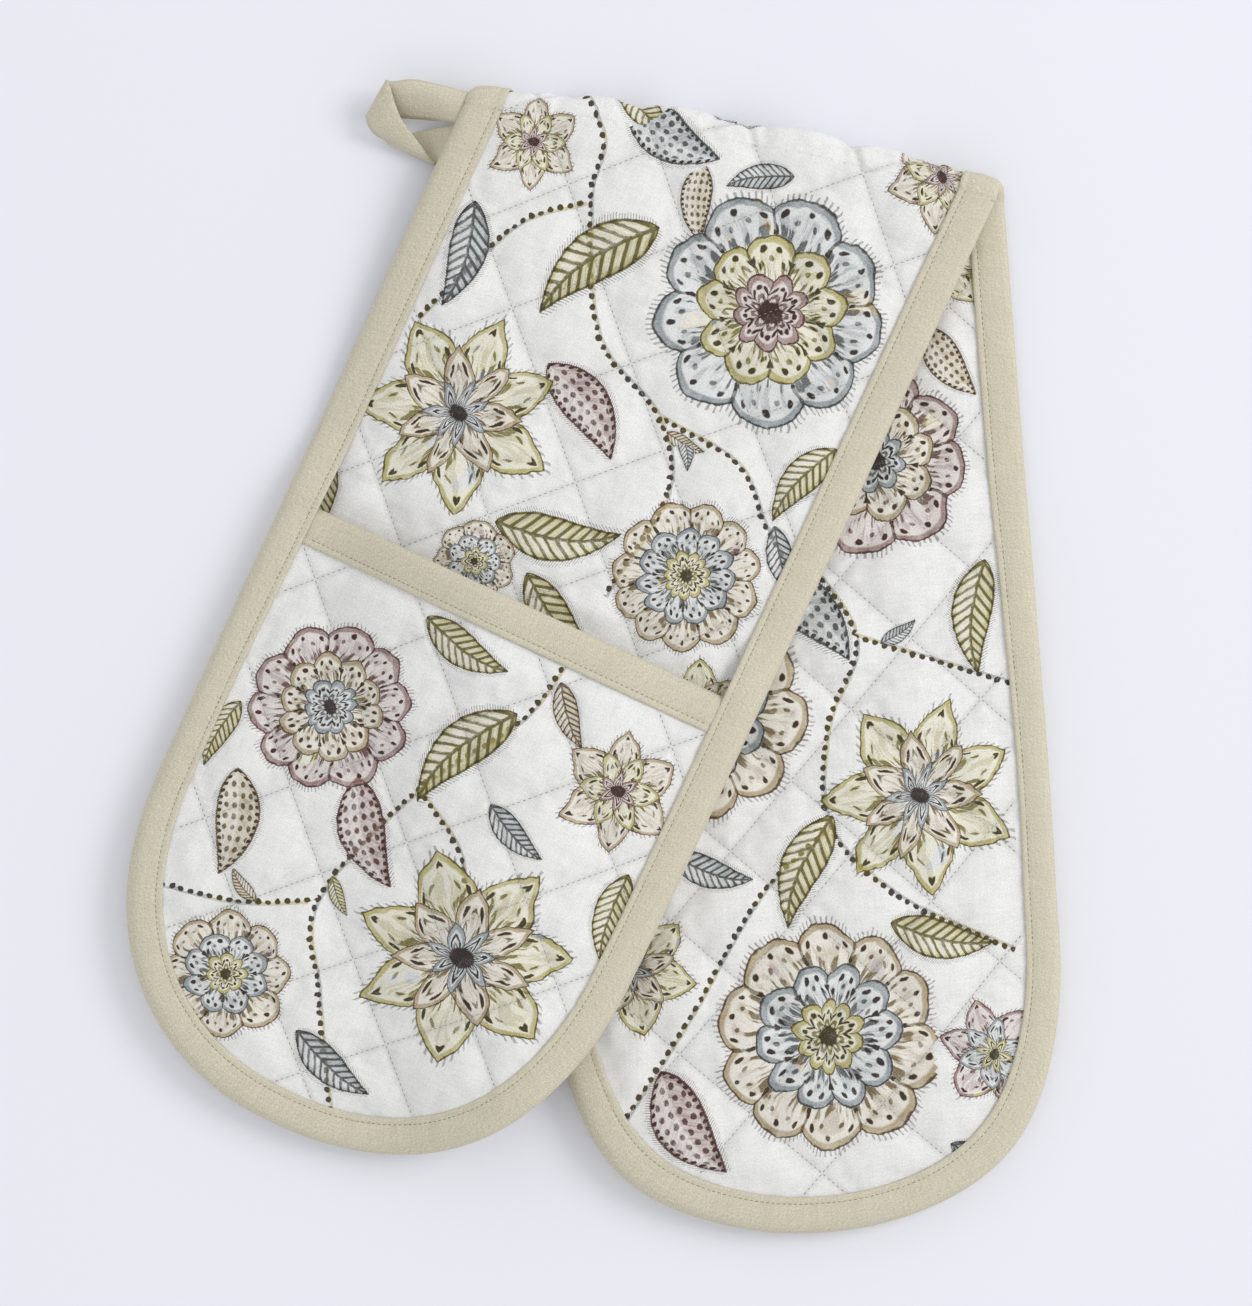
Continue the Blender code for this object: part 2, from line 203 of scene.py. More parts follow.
def toCells(x, s):
    # Where a point of a leaf lies on the diamond grid, in grid steps
    down = s - mouth
    return (x + down) / math.sqrt(2) / quiltSpacing, (x - down) / math.sqrt(2) / quiltSpacing


def coordinates(mesh):
    found = np.empty(len(mesh.vertices) * 3)
    mesh.vertices.foreach_get("co", found)
    return found.reshape(-1, 3)


def readInts(things, name):
    found = np.empty(len(things), dtype=int)
    things.foreach_get(name, found)
    return found


def quiltedSheet():
    bpy.ops.mesh.primitive_grid_add(
        x_subdivisions=2 * gridReach, y_subdivisions=2 * gridReach, location=(0, -mouth, 0),
        size=2 * gridReach * quiltSpacing, rotation=(0, 0, -math.pi / 4))
    sheet = bpy.context.object
    sheet.name = "quiltSheet"
    bpy.ops.object.transform_apply()
    work = bmesh.new()
    work.from_mesh(sheet.data)
    far = [v for v in work.verts if abs(v.co.x) > halfWidth or v.co.y > quilt["beyondFold"]
           or not insideBy(v.co.x, -v.co.y, 0)]
    bmesh.ops.delete(work, geom=far, context="VERTS")
    work.to_mesh(sheet.data)
    work.free()
    return sheet


def blowUp(sheet):
    # The sheet's lift at each step of the diamond grid
    rest = coordinates(sheet.data)
    a, b = (np.round(c).astype(int) for c in toCells(rest[:, 0], -rest[:, 1]))
    onLine = (a % quilt["cells"] == 0) | (b % quilt["cells"] == 0)
    edge = ~insideBy(rest[:, 0], -rest[:, 1], quilt["flatEdge"])
    only(sheet)
    pins = sheet.vertex_groups.new(name="sewn")
    pins.add([int(i) for i in np.flatnonzero(onLine | edge)], 1.0, "REPLACE")
    cloth = sheet.modifiers.new("cloth", "CLOTH")
    setting = cloth.settings
    setting.quality = quilt["quality"]
    setting.mass = quilt["mass"]
    setting.tension_stiffness = setting.compression_stiffness = quilt["stretch"]
    setting.shear_stiffness = quilt["shear"]
    setting.bending_stiffness = quilt["bending"]
    setting.use_pressure = True
    setting.uniform_pressure_force = quilt["pressure"]
    setting.vertex_group_mass = "sewn"
    setting.shrink_min = quilt["spare"]
    setting.effector_weights.gravity = 0
    cloth.point_cache.frame_start, cloth.point_cache.frame_end = 1, quilt["frames"]
    for number in range(1, quilt["frames"] + 1):
        bpy.context.scene.frame_set(number)
    bpy.ops.object.modifier_apply(modifier="cloth")
    bpy.context.scene.frame_set(1)
    lift = coordinates(sheet.data) - rest
    lift *= quilt["rise"] / np.percentile(lift[:, 2], quilt["usual"])
    lift = np.clip(lift, -quilt["rise"], quilt["highest"] * quilt["rise"])
    upward = np.clip(lift[:, 2] / quilt["rise"], 0, None)
    lift[:, 2] = quilt["rise"] * upward ** quilt["flatTop"]
    sheet.data.vertices.foreach_set("co", rest.ravel())
    steps = np.zeros((2 * gridReach + 1, 2 * gridReach + 1, 3))
    steps[a + gridReach, b + gridReach] = lift
    return steps


clothPlaces = {}  # x and s of every vertex of each quilted piece
quiltSheet = quiltedSheet()
liftSteps = blowUp(quiltSheet)
quiltSheet.hide_render = True
print("quilting blown up")


def liftAt(x, s):
    # The quilting's lift at any point of a leaf, read between the grid's steps
    a, b = (np.clip(c + gridReach, 0, 2 * gridReach - 1e-6) for c in toCells(x, s))
    i, j = np.floor(a).astype(int), np.floor(b).astype(int)
    fa, fb = (a - i)[:, None], (b - j)[:, None]
    lift = ((liftSteps[i, j] * (1 - fa) + liftSteps[i + 1, j] * fa) * (1 - fb)
            + (liftSteps[i, j + 1] * (1 - fa) + liftSteps[i + 1, j + 1] * fa) * fb)
    return lift * smooth((insetAt(x, s) - quilt["hemFlat"]) / quilt["hemFade"])[:, None]


def setCoordinates(mesh, places):
    mesh.vertices.foreach_set("co", np.ascontiguousarray(places, dtype=np.float32).ravel())
    mesh.update()


# Where the real glove isn't as straight as its pattern: place, reach and shift, in millimetres
# of the leaf. The fold is bowed outward at its middle.
nudges = {
    "front": [(-90, 60, 70, 60, -0.1, 0), (-90, 170, 70, 90, 0.8, 0), (-90, 290, 60, 60, 1.2, 0),
              (-60, 365, 60, 45, 0.2, -1.9), (20, 385, 60, 50, 0, -2.6),
              (80, 330, 40, 50, -1.4, -0.6)],
    "back": [(90, 180, 50, 130, -0.4, 0), (90, 285, 50, 42, -1.2, 0), (66, 355, 32, 32, 1.9, 2.1),
             (-68, 352, 30, 30, -2.8, 2.9)],
}
foldShape = {"bow": 0.0034, "half": 0.090, "reach": 0.075, "still": 0.02, "stillFade": 0.06}


def nudged(leaf, x, s):
    moveX, moveS = np.zeros_like(x), np.zeros_like(s)
    for midX, midS, reachX, reachS, byX, byS in nudges[leaf]:
        near = np.exp(-((x * 1000 - midX) / reachX) ** 2 - ((s * 1000 - midS) / reachS) ** 2)
        moveX, moveS = moveX + near * byX * 0.001, moveS + near * byS * 0.001
    calm = smooth((s - foldShape["still"]) / foldShape["stillFade"])
    return x + moveX * calm, s + moveS * calm


def bowed(points):
    turn = np.array([[math.cos(glove["tilt"]), math.sin(glove["tilt"])],
                     [math.sin(glove["tilt"]), -math.cos(glove["tilt"])]])
    width, down = turn @ (points[:, :2] - glove["fold"][:2]).T
    size = foldShape["bow"] * np.clip(1 - (width / foldShape["half"]) ** 2, 0, 1)
    points[:, :2] -= np.outer(size * smooth(1 - down / foldShape["reach"]), turn[1])
    return points


def toRow(leaf, x, s, z):
    # Points of a leaf's own frame in the row frame, past the start of the bend round its curve
    x, s = nudged(leaf, x, s)
    c, k = math.cos(glove["skew"]), math.sin(glove["skew"]) * leafSide[leaf]
    width, down = x * c - s * k, s * c + x * k
    over = np.clip(foldOuter - down, 0, None)
    radius = leafSide[leaf] * (z - axisHeight)
    down = np.where(over > 0, foldOuter - radius * np.sin(over / foldOuter), down)
    z = np.where(over > 0, axisHeight + leafSide[leaf] * radius * np.cos(over / foldOuter), z)
    matrix = np.array(leafMatrix[leaf])
    return bowed(np.stack([width * c + down * k, width * k - down * c, z], axis=1)
                 @ matrix[:3, :3].T + matrix[:3, 3])


def doubled(piece):
    # Turns a sheet into a closed panel; the attribute shell is 1 on its upper side
    work = bmesh.new()
    work.from_mesh(piece.data)
    shell = work.verts.layers.float.new("shell")
    raised = bmesh.ops.extrude_face_region(work, geom=work.faces[:])["geom"]
    for v in raised:
        if isinstance(v, bmesh.types.BMVert):
            v[shell] = 1.0
    for face in work.faces:
        sides = {round(v[shell]) for v in face.verts}
        face.material_index = 1 if sides == {0} else 0
        face.smooth = len(sides) == 1
    bmesh.ops.recalc_face_normals(work, faces=work.faces)
    work.to_mesh(piece.data)
    work.free()


def shellOf(mesh):
    found = np.empty(len(mesh.vertices))
    mesh.attributes["shell"].data.foreach_get("value", found)
    return found > 0.5


def clothMap(mesh, across, along):
    # UV map in tens of centimetres along the threads of the cloth
    uv = mesh.uv_layers.get("clothMap") or mesh.uv_layers.new(name="clothMap")
    corners = readInts(mesh.loops, "vertex_index")
    uv.data.foreach_set("uv", np.stack([across[corners], along[corners]], axis=1).ravel() * 10)
    for other in [layer for layer in mesh.uv_layers if layer.name != "clothMap"]:
        mesh.uv_layers.remove(other)


def fromFold(leaf, x, s):
    # 0 at the bend and 1 a little way down the leaf
    away = s * math.cos(glove["skew"]) + leafSide[leaf] * x * math.sin(glove["skew"]) - foldOuter
    return smooth(away / quilt["foldFade"])


def quiltPanel(name, leaf, keep, bottomOf, topOf, topShare, bottomShare, cut=None):
    # A quilted panel: keep says which part of the sheet it has, the shares how far each side puffs
    piece = quiltSheet.copy()
    piece.data = quiltSheet.data.copy()
    piece.name = name
    piece.hide_render = False
    bpy.context.scene.collection.objects.link(piece)
    work = bmesh.new()
    work.from_mesh(piece.data)
    spare = [v for v in work.verts if not keep(v.co.x, -v.co.y)]
    bmesh.ops.delete(work, geom=spare, context="VERTS")
    if cut:
        bmesh.ops.bisect_plane(work, geom=work.verts[:] + work.edges[:] + work.faces[:],
                               dist=1e-6, plane_co=cut[0], plane_no=cut[1], clear_outer=True)
    work.to_mesh(piece.data)
    work.free()
    doubled(piece)
    mesh = piece.data
    flat = coordinates(mesh)
    x, s, upper = flat[:, 0], -flat[:, 1], shellOf(mesh)
    lift = liftAt(x, s)
    share = np.where(upper, topShare(x, s), bottomShare(x, s))
    z = np.where(upper, topOf(x, s) + lift[:, 2] * share, bottomOf(x, s) - lift[:, 2] * share)
    clothMap(mesh, x, s)
    clothPlaces[name] = (x, s)
    aside = share * fromFold(leaf, x, s)
    setCoordinates(mesh, toRow(leaf, x + lift[:, 0] * aside, s - lift[:, 1] * aside, z))
    return piece


def always(share):
    return lambda x, s: np.full_like(x, share)


# The two leaves. Their edges lie inside the folded binding, so they stop short of the outline.
leafPanel = {"underBinding": 0.003, "topPuff": 1.0, "underPuff": 0.29, "backUnderPuff": 0.3,
             "bandFade": 0.012, "bandFlat": 0.75}
alongFold = Vector((math.cos(glove["tilt"]), math.sin(glove["tilt"]), 0))
downFold = Vector((math.sin(glove["tilt"]), -math.cos(glove["tilt"]), 0))


def leafCut(leaf):
    # The plane where a leaf meets the bend, in the leaf's own frame
    turn = leafMatrix[leaf].inverted().to_3x3()
    return (turn @ (downFold * foldOuter), turn @ -downFold)


def backTop(x, s):
    return backBase(x, s) + panel


def frontTop(x, s):
    return frontBase(x, s) + panel


def backTopPuff(x, s):
    return leafPanel["topPuff"] * fromFold("back", x, s)


def frontTopPuff(x, s):
    # Flatter where the pocket's band presses on it
    band = smooth((s - mouth + leafPanel["bandFade"]) / leafPanel["bandFade"])
    return leafPanel["topPuff"] * (1 - leafPanel["bandFlat"] * band)


def frontUnderPuff(x, s):
    return leafPanel["underPuff"] * fromFold("front", x, s)


def inLeaf(x, s):
    return insideBy(x, s, leafPanel["underBinding"])


backUnderPuff = always(leafPanel["backUnderPuff"])
backLeafQuilt = quiltPanel("backLeafQuilt", "back", inLeaf, backBase, backTop,
                           backTopPuff, backUnderPuff, leafCut("back"))
frontLeafQuilt = quiltPanel("frontLeafQuilt", "front", inLeaf, frontBase, frontTop,
                            frontTopPuff, frontUnderPuff, leafCut("front"))
print("leaves quilted")

# The bend: the same quilting carried over half a turn
bend = {"columns": 288, "rows": 39, "tuck": 0.0015, "sink": 0.00012, "flatShare": 0.4}


def gridSheet(name, columns, rows):
    # A grid of that many vertices each way, with the share of the way across and along of each one
    bpy.ops.mesh.primitive_grid_add(x_subdivisions=columns - 1, y_subdivisions=rows - 1, size=2)
    piece = bpy.context.object
    piece.name = name
    across, along, _ = ((coordinates(piece.data) + 1) / 2).T
    for face in piece.data.polygons:
        face.use_smooth = True
    return piece, across, along


def bendTurns(share):
    # The angle round the bend, and how far past its two ends the cloth runs on inside the leaves
    stations = np.concatenate([[-1], np.linspace(0, 1, bend["rows"] - 2), [2]])
    turn = np.interp(share * (bend["rows"] - 1), np.arange(bend["rows"]), stations)
    past = np.clip(np.maximum(-turn, turn - 1), 0, 1)
    return np.clip(turn, 0, 1) * math.pi, past * bend["tuck"]


def bendAt(width, turn, radius, tuck):
    # Points of the bend from their way along the fold, their angle from its lower side up
    # and their distance from its axis
    slip = foldOuter * math.tan(glove["skew"]) * np.cos(turn)
    middle = np.array(foldMiddle + downFold * foldOuter + Vector((0, 0, axisHeight)))
    return bowed(middle + np.outer(width + slip, alongFold)
                 + np.outer(tuck - radius * np.sin(turn), downFold)
                 - np.outer(radius * np.cos(turn), (0, 0, 1)))


def foldToFront(width, down):
    # The x and s of the front leaf for a place along the fold and a distance down from its crest
    c, k = math.cos(glove["skew"]), math.sin(glove["skew"])
    slipped = width - foldOuter * math.tan(glove["skew"])
    return slipped * c + down * k, -slipped * k + down * c


foldQuilt = gridSheet("foldQuilt", bend["columns"], bend["rows"])[0]
doubled(foldQuilt)
flat = (coordinates(foldQuilt.data) + 1) / 2
outer = shellOf(foldQuilt.data)
foldWidth = (flat[:, 0] * 2 - 1) * (halfWidth - leafPanel["underBinding"]) / math.cos(glove["skew"])
foldTurn, foldTuck = bendTurns(flat[:, 1])
x, s = foldToFront(foldWidth, foldOuter - foldOuter * (math.pi - foldTurn)
                   + foldTuck * (foldTurn > 1))
lift = liftAt(x, s)[:, 2] * smooth(foldTurn / (bend["flatShare"] * math.pi))
clothMap(foldQuilt.data, x, s)
clothPlaces["foldQuilt"] = (x, s)
sunk = bend["sink"] * foldTuck / bend["tuck"]
foldReach = np.where(outer, foldOuter + lift - sunk, glove["foldRadius"] + sunk)
setCoordinates(foldQuilt.data, bendAt(foldWidth, foldTurn, foldReach, foldTuck))
turnOutward(foldQuilt)

# Pockets, each sewn on round the toe of a leaf
pocketPanel = {"start": 0.0025, "puff": 1.0, "liningPuff": 0.35, "underPuff": 0.27,
               "bandFade": 0.007, "opensAt": 0.01}


def belowBand(share):
    # The puff of a pocket, which the tape over its mouth holds flat
    hidden = mouth + quilt["hemFlat"]
    return lambda x, s: share * smooth((s - hidden) / pocketPanel["bandFade"])


def inPocketPanel(x, s):
    return insideBy(x, s, leafPanel["underBinding"]) & (s > mouth + pocketPanel["start"])


def frontPocketTop(x, s):
    return frontPocketBase(x, s) + panel


pocketPuff, liningPuff, pocketUnderPuff = (belowBand(pocketPanel[side])
                                           for side in ("puff", "liningPuff", "underPuff"))
frontPocketQuilt = quiltPanel("frontPocketQuilt", "front", inPocketPanel, frontPocketBase,
                              frontPocketTop, pocketPuff, liningPuff)
backPocketQuilt = quiltPanel("backPocketQuilt", "back", inPocketPanel, always(hem),
                             always(hem + panel), liningPuff, pocketUnderPuff)
print("pockets quilted")

# Binding tape folded over every edge
binding = {
    "tape": 0.0008, "round": 0.0046, "roundTurn": math.radians(72), "roundSteps": 9, "side": 0.006,
    "sideStations": 190, "toeStations": 190, "mouthStations": 120, "underEdge": 0.006,
    "pressStart": 0.002, "pressFade": 0.006,
    "pucker": 0.00009, "puckerWaves": (5.3, 7.9, 11.7, 17.0, 29.0), "puckerInner": 0.35,
    "puckerStart": 0.0085, "puckerFade": 0.004,
    "lip": [(13.2, -0.60), (13.05, -0.25), (12.65, -0.02), (11.95, 0.02), (11.4, -0.06),
            (10.8, -0.26), (10.2, -0.06), (9.4, 0.06), (8.1, 0.14), (6.6, 0.12), (5.6, 0.03)],
    "slim": {"front": (2.12, 0.22), "back": (0.80, 0.28)}, "slimBy": 0.13,
}


def tapeProfile():
    # Inset, share of the height and extra height of the folded tape, from its upper lip
    # round to its lower one
    lip = np.array(binding["lip"]) * 0.001
    turn = np.linspace(binding["roundTurn"], -binding["roundTurn"], binding["roundSteps"])
    inset = np.concatenate([lip[:, 0], binding["round"] * (1 - np.cos(turn)), lip[::-1, 0]])
    share = np.concatenate([np.ones(len(lip)), 0.5 + 0.5 * np.sin(turn), np.zeros(len(lip))])
    extra = np.concatenate([lip[:, 1], 0 * turn, -lip[::-1, 1]])
    return inset, share, extra


profileInset, profileShare, profileExtra = tapeProfile()
profileGirth = lengthAlong(profileInset, profileShare * binding["side"])


def edgePoint(leaf, share, inset):
    # The x and s round a leaf's edge: share 0 to 1 down the right side, 1 to 2 round the toe,
    # 2 to 3 back up
    toeX, toeS = outlineAt(np.clip(share - 1, 0, 1), inset)
    half = halfWidth - inset
    down = np.clip(np.where(share < 1, share, 3 - share), 0, 1)
    side = np.where(share < 1.5, half, -half)
    begin = startLine(leaf, side, foldOuter)
    straight = (share < 1) | (share > 2)
    return (np.where(straight, side, toeX),
            np.where(straight, begin + (toeCentre - begin) * down, toeS))


def slimmed(leaf, share):
    # The tape is a little narrower along one stretch of each leaf
    middle, reach = binding["slim"][leaf]
    return 1 - binding["slimBy"] * np.exp(-((share - middle) / reach) ** 2)


def edgeShares():
    side = np.linspace(0, 1, binding["sideStations"])[:-1]
    toe = np.linspace(1, 2, binding["toeStations"])
    return np.concatenate([side, toe, np.linspace(2, 3, binding["sideStations"])[1:]])


def edgeLengths(leaf, shares):
    # How far round the edge each station lies, down the middle of the tape
    return lengthAlong(*edgePoint(leaf, shares, np.full(len(shares), tapeMiddle)))


def pucker(along, inset):
    # The slight waves of a tape between its stitches and its folded edge
    waves = sum(math.sin(k * 2.1) * np.sin(along * 1000 * 2 * math.pi / size + k * 1.7)
                for k, size in enumerate(binding["puckerWaves"]))
    near = smooth((inset - binding["puckerStart"]) / binding["puckerFade"])
    return waves * binding["pucker"] * (near + binding["puckerInner"])


def tapeSheet(name, stations):
    # A flat tape: the share of its length at each vertex, and which point of the profile it is
    piece, across, along = gridSheet(name, stations, len(profileInset))
    return piece, across, np.round(along * (len(profileInset) - 1)).astype(int)


def foldedTape(piece, along, girth, places):
    clothMap(piece.data, along, girth)
    setCoordinates(piece.data, places)
    thicken(piece, binding["tape"])
    return piece


def edgeTape(name, leaf, lowOf, highOf):
    shares = edgeShares()
    piece, across, row = tapeSheet(name, len(shares))
    column = np.round(across * (len(shares) - 1)).astype(int)
    x, s = edgePoint(leaf, shares[column], profileInset[row] * slimmed(leaf, shares[column]))
    low, high = lowOf(x, s), highOf(x, s)
    length = edgeLengths(leaf, shares)
    z = (low + (high - low) * profileShare[row] + profileExtra[row]
         + pucker(length[column], profileInset[row]) * np.sign(profileShare[row] - 0.5))
    girth = lengthAlong(profileInset, profileShare * binding["side"] + profileExtra)
    return foldedTape(piece, length[column], girth[row], toRow(leaf, x, s, z))


def backBindingTop(x, s):
    return backBase(x, s) + panel + hem


def frontBindingTop(x, s):
    band = 2 * glove["tapeWidth"]
    pocket = (panel + glove["edgeRoom"]) * smooth((s - mouth + band) / band)
    return frontBase(x, s) + panel + hem + pocket


def frontBindingLow(x, s):
    return frontBase(x, s) - hem


backLeafBinding = edgeTape("backLeafBinding", "back", always(0.0), backBindingTop)
frontLeafBinding = edgeTape("frontLeafBinding", "front", frontBindingLow, frontBindingTop)


def bendTape(name, side):
    piece, across, row = tapeSheet(name, bend["rows"])
    width = side * (halfWidth - profileInset[row]) / math.cos(glove["skew"])
    turn, tuck = bendTurns(across)
    sink = bend["sink"] * tuck / bend["tuck"] * np.sign(0.5 - profileShare[row])
    radius = (glove["foldRadius"] - hem + (panel + 2 * hem) * profileShare[row]
              + profileExtra[row] + sink)
    if side < 0:
        piece.data.flip_normals()
    return foldedTape(piece, turn * foldOuter + tuck * np.sign(turn - 1), profileGirth[row],
                      bendAt(width, turn, radius, tuck))


foldBindingLeft = bendTape("foldBindingLeft", -1)
foldBindingRight = bendTape("foldBindingRight", 1)


def mouthTape(name, leaf, baseOf):
    # The tape over a pocket's mouth, its ends squeezed in under the edge binding
    half = halfWidth - binding["underEdge"]
    piece, across, row = tapeSheet(name, binding["mouthStations"])
    x, s = (across * 2 - 1) * half, mouth + profileInset[row]
    pressed = (np.abs(x) - bindingInner + binding["pressStart"]) / binding["pressFade"]
    squeeze = hem * (1 - smooth(pressed))
    low, high = baseOf(x, s) - squeeze, baseOf(x, s) + panel + squeeze
    z = low + (high - low) * profileShare[row] + profileExtra[row]
    return foldedTape(piece, x, profileGirth[row], toRow(leaf, x, s, z))


frontPocketBinding = mouthTape("frontPocketBinding", "front", frontPocketBase)
backPocketBinding = mouthTape("backPocketBinding", "back", always(hem))
print("bindings folded")


# Hanging loop: a ribbon folded over itself at two corners. Each station has, in millimetres,
# how far out from the leaf's edge, how far down it and how high over the table each edge of
# the ribbon is, and how far the ribbon bulges.
loop = {"thickness": 0.0011, "steps": 7, "columns": 9, "height": 0.01, "down": 0.04,
        "bendsAt": (-0.0005, -0.009)}
loopStations = [
    ((-0.9, 37.4, 10.5), (0.6, 25.0, 12.0), 0.3), ((8.2, 39.6, 5.2), (11.0, 28.6, 14.0), 2.2),
    ((16.1, 42.4, 4.2), (19.3, 31.1, 14.5), 2.0), ((27.2, 46.5, 3.8), (25.6, 34.0, 13.2), 0.6),
    ((29.0, 47.9, 4.8), (27.1, 34.8, 13.8), 0.3), ((28.2, 49.3, 6.2), (25.0, 36.7, 14.0), 0.6),
    ((26.5, 51.2, 6.6), (18.2, 43.7, 10.5), 1.2), ((24.0, 52.3, 5.2), (11.3, 47.6, 7.0), 1.0),
    ((19.8, 52.6, 3.6), (3.3, 51.9, 4.6), 0.4), ((18.4, 53.2, 2.4), (0.6, 52.8, 3.4), 0.1),
    ((16.7, 50.5, 1.4), (0.1, 52.3, 3.2), -0.2), ((10.6, 44.7, 1.8), (-0.5, 51.8, 4.2), -0.4),
    ((-0.5, 38.2, 9.0), (-1.9, 51.9, 8.5), -0.2),
]


def throughPoints(points, steps):
    # A smooth line through the points, that many steps between each two
    padded = np.vstack([2 * points[0] - points[1], points, 2 * points[-1] - points[-2]])
    found = []
    for k in range(len(points) - 1):
        a, b, c, d = padded[k:k + 4]
        t = np.arange(steps)[:, None] / steps
        found.append(0.5 * (2 * b + (c - a) * t + (2 * a - 5 * b + 4 * c - d) * t ** 2
                            + (3 * b - a - 3 * c + d) * t ** 3))
    return np.vstack(found + [points[-1:]])


def ribbonLine(part):
    # One of the three parts of the stations as a smooth line, in metres
    points = np.array([np.atleast_1d(found[part]) for found in loopStations]) * 0.001
    return throughPoints(points, loop["steps"])


firstEdge, secondEdge, bulge = (ribbonLine(part) for part in range(3))
hangingLoop, across, along = gridSheet("hangingLoop", len(firstEdge), loop["columns"])
station = np.round(across * (len(firstEdge) - 1)).astype(int)
places = firstEdge[station] * (1 - along)[:, None] + secondEdge[station] * along[:, None]
places[:, 2] += bulge[station, 0] * 4 * along * (1 - along)
length = lengthAlong(*((firstEdge + secondEdge) / 2).T)
clothMap(hangingLoop.data, length[station], along * glove["tapeWidth"])
setCoordinates(hangingLoop.data,
               toRow("front", -halfWidth - places[:, 0], places[:, 1], places[:, 2]))
thicken(hangingLoop, loop["thickness"], 0)
turnOutward(hangingLoop)
print("loop folded")

# Sewing thread: one small stitch, set down again and again
thread = {"radius": 0.00019, "sunk": 0.00004, "groove": 0.00024, "clear": 0.0138,
          "quiltPitch": 0.002, "quiltStitch": 0.0012, "foldGap": 0.001, "bendReach": 2.4,
          "edgePitch": 0.0019, "edgeStitch": 0.0013, "edgeInset": 0.0108, "bandClear": 0.001,
          "bandGap": 0.0002, "bandPoints": 100}
bpy.ops.mesh.primitive_uv_sphere_add(segments=5, ring_count=4, radius=1)
stitch = bpy.context.object
stitch.name = "stitch"
stitchPoints = coordinates(stitch.data)
stitchFaces = [tuple(face.vertices) for face in stitch.data.polygons]
bpy.data.objects.remove(stitch)


def sewn(name, rows):
    # One mesh of stitches. Each row has the places of their two ends, their upward direction
    # and their length
    points, faces = [], []
    count = 0
    for start, end, up, size in rows:
        along = end - start
        along /= np.linalg.norm(along, axis=1)[:, None]
        side = np.cross(up, along)
        side /= np.linalg.norm(side, axis=1)[:, None]
        top = np.cross(along, side)
        middle = (start + end) / 2 - top * thread["sunk"]
        body = (stitchPoints[None, :, 0, None] * side[:, None] * thread["radius"]
                + stitchPoints[None, :, 1, None] * top[:, None] * thread["radius"]
                + stitchPoints[None, :, 2, None] * along[:, None] * size / 2)
        points.append((middle[:, None] + body).reshape(-1, 3))
        for number in range(len(start)):
            faces += [tuple(v + count for v in face) for face in stitchFaces]
            count += len(stitchPoints)
    mesh = bpy.data.meshes.new(name)
    mesh.from_pydata(np.vstack(points).tolist(), [], faces)
    for face in mesh.polygons:
        face.use_smooth = True
    return added(name, mesh)


def quiltRows(keep):
    # Centres of a leaf's quilting stitches and the way that each runs, where keep allows one
    half, pitch = glove["quiltPitch"] / 2, thread["quiltPitch"]
    reach = gridReach * quiltSpacing
    along = np.arange(-reach, reach, pitch) + pitch / 2
    found = []
    lines = int(reach / glove["quiltPitch"])
    for number in range(-lines, lines + 1):
        fixed = np.full_like(along, number * glove["quiltPitch"])
        for a, b, way in ((fixed, along, -1), (along, fixed, 1)):
            x, s = (a + b) / math.sqrt(2), mouth + (a - b) / math.sqrt(2)
            kept = (insetAt(x, s) > thread["clear"]) & (s < glove["length"]) & keep(x, s)
            found.append(np.stack([x, s, np.full_like(x, way)], axis=1)[kept])
    return np.vstack(found)


def quiltStitches(leaf, keep, heightOf, share, up):
    # The row of stitches that sits on one side of a quilted panel
    x, s, way = quiltRows(keep).T
    step = thread["quiltStitch"] / 2 / math.sqrt(2)
    ends = []
    for sign in (-1, 1):
        endX, endS = x + sign * step, s + sign * step * way
        lift = liftAt(endX, endS)[:, 2] * share(endX, endS)
        ends.append(toRow(leaf, endX, endS, heightOf(endX, endS) + up * lift))
    return (*ends, np.tile([0.0, 0.0, up], (len(x), 1)), thread["quiltStitch"])


def beyondFold(leaf):
    return lambda x, s: s > startLine(leaf, x, foldOuter + thread["foldGap"])


def roundFold(x, s):
    # The stretch of the quilting that goes round the bend
    over = foldOuter - s * math.cos(glove["skew"]) - x * math.sin(glove["skew"])
    return (over > -thread["foldGap"]) & (over < thread["bendReach"] * foldOuter)


def evenly(points, pitch):
    # Points every pitch along a line
    length = lengthAlong(*points.T)
    wanted = np.linspace(0, length[-1], int(length[-1] / pitch) + 1)
    return np.stack([np.interp(wanted, length, points[:, k]) for k in range(3)], axis=1)


def edgeStitches(leaf, heightOf, up):
    shares = edgeShares()
    inset = thread["edgeInset"] * slimmed(leaf, shares)
    x, s = edgePoint(leaf, shares, inset)
    wave = pucker(edgeLengths(leaf, shares), inset) - thread["groove"]
    return rowOfStitches(toRow(leaf, x, s, heightOf(x, s) + up * wave), up)


def rowOfStitches(line, up):
    knots = evenly(line, thread["edgePitch"])
    ahead = np.diff(knots, axis=0)
    gap = (1 - thread["edgeStitch"] / thread["edgePitch"]) / 2
    return (knots[:-1] + ahead * gap, knots[1:] - ahead * gap,
            np.tile([0.0, 0.0, up], (len(ahead), 1)), thread["edgeStitch"])


def openPart(leaf):
    # Between the fold and the pocket
    return lambda x, s: beyondFold(leaf)(x, s) & (s < mouth)


